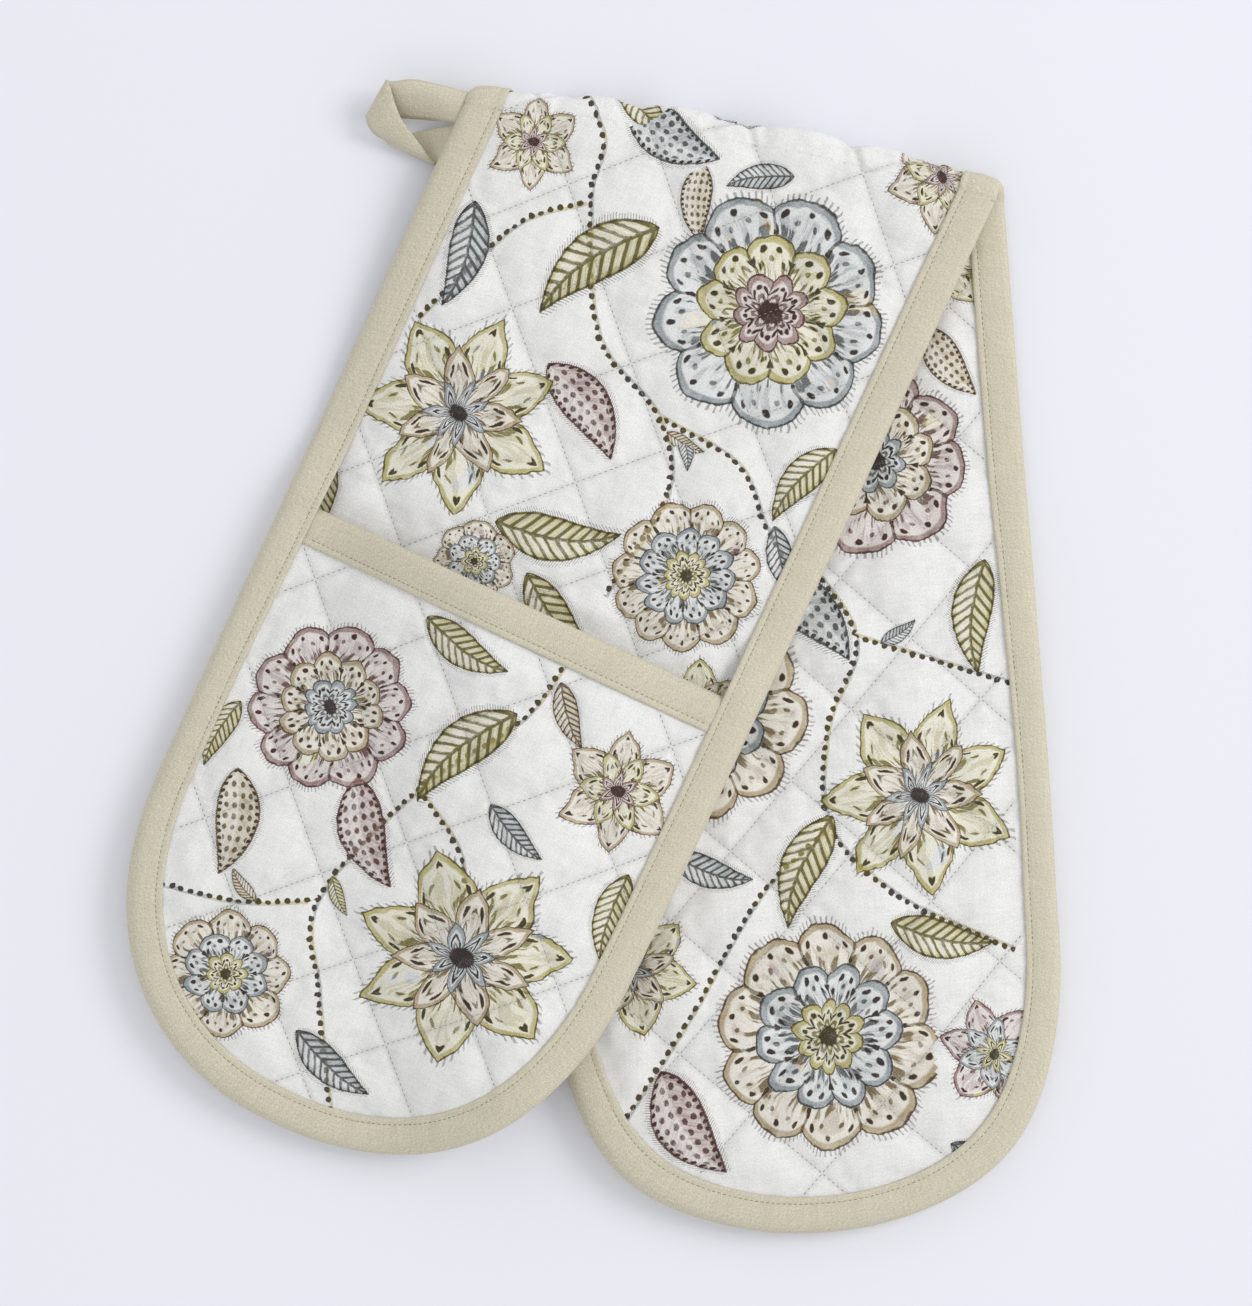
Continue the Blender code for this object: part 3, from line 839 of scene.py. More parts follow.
backLeafThread = sewn("backLeafThread", [
    quiltStitches("back", beyondFold("back"), backTop, backTopPuff, 1),
    quiltStitches("back", openPart("back"), backBase, backUnderPuff, -1)])
frontLeafThread = sewn("frontLeafThread", [
    quiltStitches("front", openPart("front"), frontTop, frontTopPuff, 1),
    quiltStitches("front", beyondFold("front"), frontBase, frontUnderPuff, -1)])
foldThread = sewn("foldThread", [quiltStitches("front", roundFold, frontTop, always(1.0), 1)])
backEdgeThread = sewn("backEdgeThread", [edgeStitches("back", backBindingTop, 1),
                                         edgeStitches("back", always(0.0), -1)])
frontEdgeThread = sewn("frontEdgeThread", [edgeStitches("front", frontBindingTop, 1),
                                           edgeStitches("front", frontBindingLow, -1)])


def pocketRows(side):
    return lambda x, s: (s > mouth + thread["clear"]) & (x * side >= 0)


pocketThreads = {}
for side, word in ((-1, "Left"), (1, "Right")):
    bandX = side * np.linspace(thread["bandGap"], bindingInner - thread["bandClear"],
                               thread["bandPoints"])
    bandS = mouth + thread["edgeInset"] + 0 * bandX
    bandTop = frontPocketTop(bandX, bandS) + hem - thread["groove"]
    for start, leaf, row in (
            ("frontPocketThread", "front",
             quiltStitches("front", pocketRows(side), frontPocketTop, pocketPuff, 1)),
            ("backPocketThread", "back",
             quiltStitches("back", pocketRows(side), always(hem), pocketUnderPuff, -1)),
            ("frontBandThread", "front", rowOfStitches(toRow("front", bandX, bandS, bandTop), 1)),
            ("backBandThread", "back",
             rowOfStitches(toRow("back", bandX, bandS, thread["groove"] + 0 * bandX), -1))):
        pocketThreads[start + word] = (leaf, side, sewn(start + word, [row]))
print("sewn")

# The print: blossoms, leaves and dotted vines laid out on each panel, in millimetres of the leaf.
# A blossom has its place, radius, turn in degrees, number of petals, depth of their tips and tone.
# A leaf has its place, half length, turn, bend, kind (0 veined, 1 seed pod) and tone.
prints = {
    "front": {
        "blossoms": [(36, 52, 41, 12, 9, 0.13, 0.04), (-47, 128, 37, 40, 7, 0.40, 0.30),
                     (48, 146, 27, 0, 11, 0.12, 0.80), (-62, 34, 17, 20, 6, 0.34, 0.80),
                     (-4, -16, 18, 0, 8, 0.12, 0.05), (70, -14, 20, 14, 6, 0.34, 0.80),
                     (-20, 172, 15, 0, 7, 0.13, 0.80), (72, 186, 19, 30, 6, 0.36, 0.30)],
        "leaves": [(-26, 62, 25, -35, 0.16, 0, 0.30), (-8, 108, 20, 62, -0.14, 1, 0.55),
                   (2, 152, 22, 105, 0.15, 0, 0.30), (-68, 78, 19, 10, -0.12, 0, 0.05),
                   (70, 100, 17, -20, 0.12, 0, 0.30), (-20, 14, 19, 80, 0.12, 1, 0.05),
                   (14, 178, 19, 60, 0.1, 0, 0.30), (-34, 8, 16, 62, 0.12, 0, 0.30),
                   (-2, 30, 13, 20, 0.12, 1, 0.80), (14, 14, 12, -60, 0.1, 0, 0.05),
                   (76, 128, 13, 40, 0.1, 0, 0.05), (-78, 176, 15, 10, 0.12, 0, 0.30)],
        "vines": [[(-70, 4), (-42, 22), (-36, 44), (-14, 84), (16, 100), (30, 122), (26, 160)],
                  [(16, 100), (48, 104), (66, 120), (78, 128)], [(-36, 44), (-56, 62), (-72, 100)]],
    },
    "pocket": {
        "blossoms": [(34, 296, 40, 25, 7, 0.38, 0.30), (-44, 238, 30, 10, 10, 0.12, 0.55),
                     (-38, 338, 24, 0, 8, 0.15, 0.80), (58, 222, 22, 15, 6, 0.34, 0.80)],
        "leaves": [(4, 232, 23, -28, 0.15, 0, 0.30), (-58, 288, 19, 18, -0.13, 1, 0.80),
                   (8, 352, 17, 70, 0.12, 0, 0.05), (-10, 200, 17, 78, 0.12, 0, 0.30),
                   (-14, 272, 20, 38, 0.16, 1, 0.55), (74, 262, 16, 5, 0.1, 0, 0.30),
                   (32, 250, 13, 66, 0.1, 0, 0.05), (-76, 262, 13, -8, 0.1, 0, 0.30),
                   (32, 206, 12, 40, 0.1, 0, 0.80)],
        "vines": [[(24, 186), (18, 214), (-4, 250), (-20, 300), (-6, 330), (14, 366)],
                  [(-4, 250), (16, 262), (24, 272)], [(-20, 300), (-44, 312), (-70, 318)]],
    },
    "back": {
        "blossoms": [(38, 116, 34, 10, 8, 0.14, 0.55), (44, 232, 36, 20, 7, 0.40, 0.30),
                     (6, 312, 41, 0, 10, 0.13, 0.80), (-30, 196, 40, 30, 9, 0.14, 0.80),
                     (62, 322, 20, 12, 6, 0.34, 0.55), (64, 48, 22, 0, 7, 0.34, 0.30),
                     (-40, 70, 36, 0, 8, 0.15, 0.05), (-60, 284, 24, 10, 6, 0.36, 0.30)],
        "leaves": [(68, 172, 20, -12, 0.15, 0, 0.30), (10, 166, 22, 48, -0.15, 1, 0.05),
                   (48, 281, 19, 72, 0.12, 0, 0.30), (2, 254, 21, -30, 0.14, 0, 0.30),
                   (58, 360, 17, 60, 0.12, 0, 0.05), (-44, 338, 21, 25, 0.13, 1, 0.55),
                   (4, 74, 19, 20, 0.12, 0, 0.30), (66, 84, 15, 30, 0.1, 1, 0.80),
                   (-66, 132, 20, 0, 0.14, 0, 0.30), (-30, 252, 15, 65, 0.12, 0, 0.05)],
        "vines": [[(20, 40), (24, 76), (4, 100), (8, 140), (26, 176), (14, 206), (12, 240),
                   (34, 266), (70, 286)],
                  [(12, 240), (-14, 262), (-40, 300), (-62, 330)],
                  [(26, 176), (52, 186), (78, 196)]],
    },
}
printing = {"vineSteps": 8, "sizePull": 0.2, "leafStretch": 0.55, "seedStep": 7.3, "away": 9.0,
            "batches": 8}
sprig = {"every": 13.0, "half": 7.5, "aside": 5.6, "lean": 48, "bend": 0.1, "narrow": 0.75,
         "tones": (0.30, 0.05, 0.80)}


def vineLines(layout):
    return [throughPoints(np.array(vine, dtype=float), printing["vineSteps"])
            for vine in layout["vines"]]


def leavesOf(layout):
    # The listed leaves, and small ones along the vines where there is room
    found = list(layout["leaves"])
    for number, line in enumerate(vineLines(layout)):
        knots = evenly(np.column_stack([line, 0 * line[:, 0]]), sprig["every"])[:, :2]
        for k in range(1, len(knots) - 1):
            way = math.degrees(math.atan2(*(knots[k + 1] - knots[k - 1])))
            side = 1 if (k + number) % 2 else -1
            across = np.array([math.cos(math.radians(way)), -math.sin(math.radians(way))]) * side
            place = knots[k] + across * sprig["aside"]
            taken = [(*motif[:2], motif[2]) for motif in layout["blossoms"]]
            taken += [(*motif[:2], motif[2] * sprig["narrow"]) for motif in layout["leaves"]]
            if all(math.dist(place, spot[:2]) > spot[2] + sprig["half"] for spot in taken):
                found.append((*place, sprig["half"], way + side * sprig["lean"],
                              sprig["bend"] * side, 0, sprig["tones"][k % 3]))
    return found


def turned(x, s, midX, midS, size, turn):
    c, k = math.cos(math.radians(turn)), math.sin(math.radians(turn))
    return ((x - midX) * c - (s - midS) * k) / size, ((x - midX) * k + (s - midS) * c) / size


def nearestMotif(x, s, motifs, stretch):
    distances = []
    for motif in motifs:
        u, v = turned(x, s, *motif[:4])
        distances.append(np.hypot(u / stretch, v) * motif[2] ** printing["sizePull"])
    return np.argmin(distances, axis=0)


def printOn(piece, x, s, sides):
    # Writes where each corner of the cloth lies in its motif. The layout of each material
    # index is named in sides.
    mesh = piece.data
    corner = readInts(mesh.loops, "vertex_index")
    totals, index = (readInts(mesh.polygons, name) for name in ("loop_total", "material_index"))
    face = np.repeat(np.arange(len(totals)), totals)
    cornerX, cornerS = x[corner] * 1000, s[corner] * 1000
    faceX, faceS = (np.bincount(face, c) / totals for c in (cornerX, cornerS))
    data = {name: np.full((len(corner), 3), printing["away"]) for name in
            ("blossomPlace", "blossomStyle", "leafPlace", "leafStyle", "vinePlace")}
    for side, name in sides.items():
        layout = prints[name]
        on = index[face] == side
        for kind, motifs, stretch in (("blossom", layout["blossoms"], 1.0),
                                      ("leaf", leavesOf(layout), printing["leafStretch"])):
            chosen = nearestMotif(faceX, faceS, motifs, stretch)[face]
            for number, motif in enumerate(motifs):
                here = on & (chosen == number)
                u, v = turned(cornerX[here], cornerS[here], *motif[:4])
                seed = np.full_like(u, number * printing["seedStep"])
                data[kind + "Place"][here] = np.column_stack([u, v, seed])
                data[kind + "Style"][here] = motif[4:7]
        lines = vineLines(layout)
        middle = np.vstack([(line[1:] + line[:-1]) / 2 for line in lines])
        step = np.vstack([np.diff(line, axis=0) for line in lines])
        size = np.hypot(*step.T)
        begun = np.concatenate([lengthAlong(*line.T)[1:] for line in lines])
        chosen = np.empty(len(faceX), dtype=int)
        for part in np.array_split(np.arange(len(faceX)), printing["batches"]):
            offX, offS = faceX[part, None] - middle[:, 0], faceS[part, None] - middle[:, 1]
            chosen[part] = np.argmin(np.hypot(offX, offS), axis=1)
        chosen = chosen[face]
        way = step[chosen] / size[chosen, None]
        offX, offS = cornerX - middle[chosen, 0], cornerS - middle[chosen, 1]
        away, along = offX * way[:, 1] - offS * way[:, 0], offX * way[:, 0] + offS * way[:, 1]
        beyond = np.clip(np.abs(along) - size[chosen], 0, None)
        data["vinePlace"][on] = np.column_stack([away, begun[chosen] + along, beyond])[on]
    for name, values in data.items():
        layer = mesh.attributes.new(name, "FLOAT_VECTOR", "CORNER")
        layer.data.foreach_set("vector", values.astype(np.float32).ravel())


for piece, sides in ((backLeafQuilt, {0: "back", 1: "front"}),
                     (frontLeafQuilt, {0: "front", 1: "back"}), (frontPocketQuilt, {0: "pocket"}),
                     (backPocketQuilt, {1: "pocket"}), (foldQuilt, {0: "front"})):
    printOn(piece, *clothPlaces[piece.name], sides)
print("printed")


# Materials
class Field:
    # A value in a node tree that ordinary sums can be done with
    def __init__(self, tree, socket):
        self.tree, self.socket = tree, socket

    def calc(self, operation, *others, clamp=False):
        node = newNode(self.tree, "Math", dict(enumerate((self, *others))),
                       operation=operation, use_clamp=clamp)
        return Field(self.tree, node.outputs[0])

    def __add__(self, other):
        return self.calc("ADD", other)

    def __radd__(self, other):
        return self.calc("ADD", other)

    def __sub__(self, other):
        return self.calc("SUBTRACT", other)

    def __rsub__(self, other):
        return (self * -1.0) + other

    def __mul__(self, other):
        return self.calc("MULTIPLY", other)

    def __rmul__(self, other):
        return self.calc("MULTIPLY", other)

    def frac(self):
        return self.calc("FRACT")

    def size(self):
        return self.calc("ABSOLUTE")

    def below(self, edge, soft=0.01):
        # 1 where the value is under the edge, 0 over it
        return ((edge - self) * (1 / soft)).calc("ADD", 0.5, clamp=True)

    def above(self, edge, soft=0.01):
        return ((self - edge) * (1 / soft)).calc("ADD", 0.5, clamp=True)

    def ridge(self, repeats):
        # 0 in the middle of each of that many repeats and 1 between two of them
        return ((self * repeats).frac() - 0.5).size() * 2.0

    def upToOne(self):
        return self.calc("MINIMUM", 1.0)


def feed(tree, value, slot):
    # Links a value to a socket, or sets a plain number or colour there
    if isinstance(value, Field):
        value = value.socket
    if isinstance(value, bpy.types.NodeSocket):
        tree.links.new(value, slot)
    else:
        slot.default_value = value


def newNode(tree, kind, inputs, **settings):
    node = tree.nodes.new("ShaderNode" + kind)
    for name, value in settings.items():
        setattr(node, name, value)
    for slot, value in inputs.items():
        feed(tree, value, node.inputs[slot])
    return node


def pick(choice, yes, no):
    return no + (yes - no) * choice


def hypotenuse(a, b):
    return (a * a + b * b).calc("SQRT")


def opaque(colour, share=1.0):
    return (*(c * share for c in colour), 1)


def mixed(tree, share, below, above):
    return newNode(tree, "Mix", {0: share, 6: below, 7: above}, data_type="RGBA").outputs[2]


def group(name, inputs, outputs):
    tree = bpy.data.node_groups.new(name, "ShaderNodeTree")
    for side, sockets in (("INPUT", inputs), ("OUTPUT", outputs)):
        for label, kind in sockets.items():
            tree.interface.new_socket(label, in_out=side, socket_type="NodeSocket" + kind)
    start, end = tree.nodes.new("NodeGroupInput"), tree.nodes.new("NodeGroupOutput")
    return tree, {label: Field(tree, start.outputs[label]) for label in inputs}, end


def finish(tree, end, **results):
    for label, value in results.items():
        feed(tree, value, end.inputs[label])
    return tree


def parts(tree, vector):
    return [Field(tree, output) for output in newNode(tree, "SeparateXYZ", {0: vector}).outputs]


def joined(tree, x, y, z=0.0):
    return newNode(tree, "CombineXYZ", {0: x, 1: y, 2: z}).outputs[0]


def noise(tree, vector, scale, detail=2.0, rough=0.5):
    node = newNode(tree, "TexNoise", {"Scale": scale, "Detail": detail, "Roughness": rough,
                                      "Vector": vector})
    return Field(tree, node.outputs["Fac"])


def ramp(tree, value, colours):
    # Equal steps of colour, one for each tone
    node = tree.nodes.new("ShaderNodeValToRGB")
    node.color_ramp.interpolation = "CONSTANT"
    steps = node.color_ramp.elements
    steps.remove(steps[1])
    for number, colour in enumerate(colours):
        step = steps.new(number / len(colours)) if number else steps[0]
        step.position, step.color = number / len(colours), opaque(colour)
    tree.links.new(value.socket, node.inputs[0])
    return node.outputs[0]


inks = {  # slate, olive, plum, tan
    "band": [(0.16, 0.195, 0.21), (0.38, 0.325, 0.07), (0.19, 0.08, 0.07), (0.33, 0.235, 0.10)],
    "wash": [(0.47, 0.51, 0.51), (0.65, 0.585, 0.24), (0.53, 0.375, 0.32), (0.68, 0.575, 0.35)],
    "line": [(0.046, 0.036, 0.032), (0.062, 0.05, 0.022), (0.06, 0.03, 0.026),
             (0.056, 0.036, 0.024)],
    "ground": (0.83, 0.82, 0.80), "lining": (0.80, 0.785, 0.76),
}


def toneColours(tree, tone):
    return [ramp(tree, tone, inks[kind]) for kind in ("wash", "band", "line")]


motifLook = {"fringe": 0.62, "inkLeast": 0.72, "inkVaries": 0.5}
# Distances are shares of a motif's radius or half length, for the vine in millimetres. A noise
# has its scale, detail and roughness.
blossomLook = {
    "brush": (7.0, 3.0, 0.6), "swayNoise": (2.6, 1.0), "strokes": (1.0, 2.0, 0.6),
    "ragged": 0.07, "sway": 0.2, "wobble": 0.011, "rays": 12.0,
    "outer": 0.96, "middle": 0.63, "inner": 0.33, "middleTip": 0.8, "innerTip": 0.55,
    "middleTone": 0.27, "coreTone": 0.25, "beadIn": 0.115, "bead": 0.016,
    "smallBeadIn": 0.195, "smallBead": 0.024, "outline": 0.036, "band": 0.095,
    "hatchFrom": 0.14, "stamens": 0.15, "heart": 0.085, "fringes": 15.0, "fringeReach": 0.12,
}
leafLook = {
    "brush": (6.0, 3.0, 0.6), "strokes": (1.0, 2.0, 0.6),
    "ragged": 0.06, "slant": -0.9, "width": 0.36, "podWider": 0.06, "outline": 0.025,
    "rib": 0.026, "veins": 5.5, "seedRows": 5.0, "seedColumns": 6.5, "seed": 0.2,
    "beads": 8.0, "beadIn": 0.075, "bead": 0.28, "fringes": 24.0, "fringeReach": 0.18,
}
vineLook = {"ragged": 1.6, "beads": 0.29, "bead": 0.55, "stemAside": 0.8, "stem": 0.3, "end": 1.5}


def motifGroup(name, *inputs):
    return group(name, {label: "Vector" for label in inputs}, {"Colour": "Color", "Ink": "Float"})


def motifInk(inside, full, fringe, brush):
    # Ink up to the motif's edge and a fringe of fine strokes past it, both a little uneven
    ink = inside * full.upToOne() + (1.0 - inside) * fringe * motifLook["fringe"]
    return (ink * (motifLook["inkLeast"] + brush * motifLook["inkVaries"])).upToOne()


def blossomGroup():
    look = blossomLook
    tree, put, end = motifGroup("printedBlossom", "Place", "Style")
    u, v, seed = parts(tree, put["Place"])
    count, depth, tone = parts(tree, put["Style"])
    brush = noise(tree, joined(tree, u, v, seed), *look["brush"])
    sway = noise(tree, joined(tree, u, v, seed + 3.1), *look["swayNoise"])
    u, v = u + (sway - 0.5) * look["sway"], v + (brush - 0.5) * look["ragged"]
    radius = hypotenuse(u, v)
    spread = radius.calc("MAXIMUM", 0.02)
    raysU, raysV = (field.calc("DIVIDE", spread) * look["rays"] for field in (u, v))
    strokes = noise(tree, joined(tree, raysU, raysV, radius * 2.5 + seed), *look["strokes"])
    turn = v.calc("ARCTAN2", u) * (0.5 / math.pi) + 0.5
    turn = turn + (turn * (4 * math.pi) + seed).calc("SINE") * look["wobble"]
    even = turn.ridge(count)
    odd = 1.0 - even
    pointed = depth.above(0.25, 0.1)
    evenTip = pick(pointed, even, even * even) * depth
    oddTip = pick(pointed, odd, odd * odd) * depth
    outer, middle = look["outer"] - evenTip, look["middle"] - oddTip * look["middleTip"]
    inner = look["inner"] - evenTip * look["innerTip"]
    within, core = radius.calc("LESS_THAN", middle), radius.calc("LESS_THAN", inner)
    rim = pick(core, inner, pick(within, middle, outer)) - radius
    deep = radius - pick(within, inner, middle) * (1.0 - core)
    petal = pick(within - core, odd, even)
    zoneTone = tone + within * look["middleTone"] + core * look["coreTone"]
    zoneTone = zoneTone + pointed * within * look["coreTone"]
    zoneTone = (zoneTone + (sway - 0.5) * 0.3 + 1.0).frac()
    beads = (turn * count * 3.0).frac() - 0.5
    betweenBeads = (turn * count * 3.0 + 0.5).frac() - 0.5
    beadSize = look["bead"] - core * 0.006 + brush * 0.028
    bead = hypotenuse(beads * radius * (math.pi / 12), rim - look["beadIn"])
    bead = bead.below(beadSize, 0.012)
    smallBead = hypotenuse(betweenBeads * radius * 0.26, rim - look["smallBeadIn"])
    smallBead = smallBead.below(look["smallBead"], 0.01)
    outline = rim.below(strokes * look["outline"], 0.012)
    gap = (petal + rim * 0.12).above(0.955, 0.03) * rim.below(0.36 - pointed * 0.05, 0.02)
    band = (rim + brush * 0.05).below(look["band"], 0.02)
    hatch = strokes.above(0.5, 0.08) * rim.above(look["hatchFrom"], 0.03)
    stamens = deep.below(strokes * look["stamens"], 0.02) * strokes.above(0.52, 0.08)
    heart = radius.below(look["heart"], 0.02)
    fringe = (turn + brush * 0.004).ridge(count * look["fringes"]).below(0.42, 0.25)
    fringe = fringe * (rim * -1.0).below(strokes * look["fringeReach"] - 0.005, 0.012)
    inside = rim.above(0.0, 0.012)
    colour, bandColour, lineColour = toneColours(tree, zoneTone)
    colour = mixed(tree, hatch * 0.7, colour, bandColour)
    colour = mixed(tree, band * (0.5 + brush * 0.6), colour, bandColour)
    dark = (bead + smallBead * 0.7 + outline * 0.9 + gap * 0.7 + stamens * 0.6 + heart).upToOne()
    colour = mixed(tree, dark, colour, lineColour)
    full = 0.48 + band * 0.35 + hatch * 0.15 + dark * 0.55
    return finish(tree, end, Colour=colour, Ink=motifInk(inside, full, fringe, brush))


def leafGroup():
    look = leafLook
    tree, put, end = motifGroup("printedLeaf", "Place", "Style")
    u, v, seed = parts(tree, put["Place"])
    bend, pod, tone = parts(tree, put["Style"])
    brush = noise(tree, joined(tree, u, v, seed), *look["brush"])
    across = u - bend * (v * v * 1.3 - 0.45 + v * v * v * 0.5)
    across = across + (brush - 0.5) * look["ragged"]
    away = across.size()
    slanted = v + away * look["slant"]
    strokes = noise(tree, joined(tree, away * 2.0, slanted * 22.0, seed), *look["strokes"])
    body = (1.0 - v * v).calc("MAXIMUM", 0.0)
    width = body.calc("POWER", 0.8) * (look["width"] + v * -0.12 + pod * look["podWider"])
    rim = width - away
    inside = rim.above(0.012, 0.02)
    outline = rim.below(look["outline"] + strokes * 0.05, 0.02)
    rib = away.below(look["rib"], 0.015)
    veins = (slanted + brush * 0.03).ridge(look["veins"]).above(0.62 + (strokes - 0.5) * 0.6, 0.25)
    seeds = hypotenuse((v * look["seedRows"]).frac() - 0.5,
                       (across * look["seedColumns"]).frac() - 0.5)
    seeds = seeds.below(look["seed"] + brush * 0.16, 0.1)
    beads = hypotenuse((v * look["beads"]).frac() - 0.5, (rim - look["beadIn"]) * look["beads"])
    beads = beads.below(look["bead"], 0.1)
    filled = across.above(0.0, 0.03)
    detail = pick(pod, seeds * rim.above(0.12, 0.02), (veins + rib).upToOne())
    fringe = (v + away * 0.6).ridge(look["fringes"]).below(0.45, 0.25) * body.above(0.02, 0.01)
    fringe = fringe * (rim * -1.0).below(strokes * look["fringeReach"] - 0.02, 0.02)
    colour, bandColour, lineColour = toneColours(tree, tone)
    shade = (filled * 0.5 + rim.below(0.1, 0.04) * 0.5 + strokes.above(0.52, 0.08) * 0.4).upToOne()
    colour = mixed(tree, shade * (0.6 + brush * 0.5), colour, bandColour)
    dark = (outline * 0.8 + detail * 0.8 + beads * pod).upToOne()
    colour = mixed(tree, dark, colour, lineColour)
    full = 0.46 + shade * 0.3 + dark * 0.5
    return finish(tree, end, Colour=colour, Ink=motifInk(inside, full, fringe, brush))


def vineGroup():
    look = vineLook
    tree, put, end = motifGroup("printedVine", "Place")
    away, along, beyond = parts(tree, put["Place"])
    brush = noise(tree, joined(tree, away * 0.1, along * 0.1), 3.0, 2.0)
    away = away + (brush - 0.5) * look["ragged"]
    beads = hypotenuse(((along * look["beads"]).frac() - 0.5) * 3.4, away * 1.15)
    beads = beads.below(look["bead"] + brush * 1.1, 0.3)
    stem = (away - look["stemAside"]).size().below(look["stem"] + brush * 0.7, 0.3)
    blue = noise(tree, joined(tree, 0.0, along * 0.03), 1.0, 1.0).above(0.5, 0.1)
    tones = mixed(tree, blue, opaque(inks["band"][1]), opaque(inks["band"][0]))
    colour = mixed(tree, beads * 0.9, tones, opaque(inks["line"][3]))
    ink = (beads + stem * 0.6).upToOne() * beyond.below(look["end"], 0.5) * (0.7 + brush * 0.6)
    return finish(tree, end, Colour=colour, Ink=ink.upToOne())


weaveLook = {"slubs": 9.0, "over": 0.5, "slub": 0.6, "shade": 0.5}
seamLook = {"from": 0.94, "soft": 0.10}


def weaveGroup():
    # The height and shade of a plain weave, with slubs along both its threads
    tree, put, end = group("linenWeave", {"Place": "Vector", "Pitch": "Float"},
                           {"Height": "Float", "Shade": "Float"})
    x, y, _ = parts(tree, put["Place"])
    warp, weft = x * put["Pitch"], y * put["Pitch"]
    over = ((warp * math.pi).calc("SINE") * (weft * math.pi).calc("SINE")) * 0.5 + 0.5
    long = weaveLook["slubs"]
    slubs = (noise(tree, joined(tree, x * long, y), long)
             + noise(tree, joined(tree, x, y * long, 4.0), long))
    height = over * weaveLook["over"] + slubs * weaveLook["slub"]
    return finish(tree, end, Height=height, Shade=slubs * weaveLook["shade"])


def seamGroup():
    # 1 on the lines of the quilting and 0 beside them; it cuts a bump there and darkens them with
    # painted shade
    tree, put, end = group("quiltSeams", {"Place": "Vector"}, {"Seam": "Float"})
    x, y, _ = parts(tree, put["Place"])
    steps = 1 / (math.sqrt(2) * 10 * glove["quiltPitch"])
    lines = [((x + way * (y - 10 * mouth)) * steps).ridge(1.0) for way in (1.0, -1.0)]
    lines = [line.above(seamLook["from"], seamLook["soft"]) for line in lines]
    return finish(tree, end, Seam=lines[0].calc("MAXIMUM", lines[1]))


motifInks = {"blossom": blossomGroup(), "leaf": leafGroup(), "vine": vineGroup()}
linenWeave, quiltSeams = weaveGroup(), seamGroup()


# Pitches are in threads to ten centimetres and bumps in metres. A shade is made of a share of
# the weave, a share of the grain or rib, and a least value.
cloths = {
    "printedCotton": {"roughness": 0.86, "pitch": 260.0, "bump": 0.00022, "bumpShare": 0.6,
                      # The seam shade is painted shade along the quilting's seam lines; the seam
                      # depth is a bump.
                      "seamShade": -0.11, "seamDepth": 1.3, "stain": (0.60, 0.60, 0.61),
                      "stained": 0.22, "stainNoise": (14.0, 4.0, 0.65),
                      "stainFrom": (0.56, 0.14), "grain": (190.0, 3.0, 0.7),
                      "inkFlow": (1.3, 0.7, 1.15), "shade": (0.24, 0.7, 0.54)},
    "liningCotton": {"roughness": 0.88, "pitch": 240.0, "bump": 0.00018, "mottle": 0.3,
                     "colour": inks["lining"]},
    "stoneTape": {"roughness": 0.82, "pitch": 330.0, "bump": 0.00016, "mottle": 0.35,
                  "colour": (0.645, 0.60, 0.465)},
    "worn": 0.86, "wornBump": 0.7, "wornNoise": (7.0, 4.0, 0.6), "rib": (240.0, 80.0),
    "ribNoise": (1.0, 3.0, 0.7), "shade": (0.3, 1.4, 0.15), "sheen": 0.25,
}
threadLook = {"stoneThread": (0.33, 0.28, 0.18), "greyThread": (0.33, 0.32, 0.30),
              "roughness": 0.6, "twist": 2600.0, "dark": 0.8}


def newMaterial(name, roughness):
    material = bpy.data.materials.new(name)
    material.use_nodes = True
    tree = material.node_tree
    shader = tree.nodes["Principled BSDF"]
    shader.inputs["Roughness"].default_value = roughness
    shader.inputs["Specular IOR Level"].default_value = cloths["sheen"]
    return material, tree, shader


def placed(tree, made, **links):
    return newNode(tree, "Group", links, node_tree=made)


def attribute(tree, name):
    return newNode(tree, "Attribute", {}, attribute_name=name).outputs["Vector"]


def clothPlace(tree):
    return newNode(tree, "UVMap", {}, uv_map="clothMap").outputs[0]


def bumped(tree, shader, height, distance, strength):
    node = newNode(tree, "Bump", {"Distance": distance, "Strength": strength, "Height": height})
    feed(tree, node.outputs[0], shader.inputs["Normal"])


def scaled(tree, colour, share):
    # A colour made darker where the share is under 1
    inputs = {0: colour, "Scale": share}
    return newNode(tree, "VectorMath", inputs, operation="SCALE").outputs[0]


def printedCotton():
    cloth = cloths["printedCotton"]
    material, tree, shader = newMaterial("printedCotton", cloth["roughness"])
    place = clothPlace(tree)
    weave = placed(tree, linenWeave, Place=place, Pitch=cloth["pitch"])
    stain = noise(tree, place, *cloth["stainNoise"]).above(*cloth["stainFrom"]) * cloth["stained"]
    colour = mixed(tree, stain, opaque(inks["ground"]), opaque(cloth["stain"]))
    grain = noise(tree, place, *cloth["grain"])
    flow, caught, full = cloth["inkFlow"]
    for motif, labels in (("vine", ["Place"]), ("leaf", ["Place", "Style"]),
                          ("blossom", ["Place", "Style"])):
        node = placed(tree, motifInks[motif],
                      **{label: attribute(tree, motif + label) for label in labels})
        ink = (Field(tree, node.outputs["Ink"]) * flow - grain * caught) * full
        ink = ink.calc("MAXIMUM", 0.0).upToOne()
        colour = mixed(tree, ink, colour, node.outputs["Colour"])
    seam = Field(tree, placed(tree, quiltSeams, Place=place).outputs["Seam"])
    weaveShare, grainShare, least = cloth["shade"]
    shade = Field(tree, weave.outputs["Shade"]) * weaveShare + grain * grainShare + least
    # Painted shade: the cloth's colour is darkened along the quilting's seam lines, in the valleys
    # between the puffs
    shade = shade * (seam * cloth["seamShade"] + 1.0)
    feed(tree, scaled(tree, colour, shade), shader.inputs["Base Color"])
    height = Field(tree, weave.outputs["Height"]) - seam * cloth["seamDepth"]
    bumped(tree, shader, height, cloth["bump"], cloth["bumpShare"])
    return material


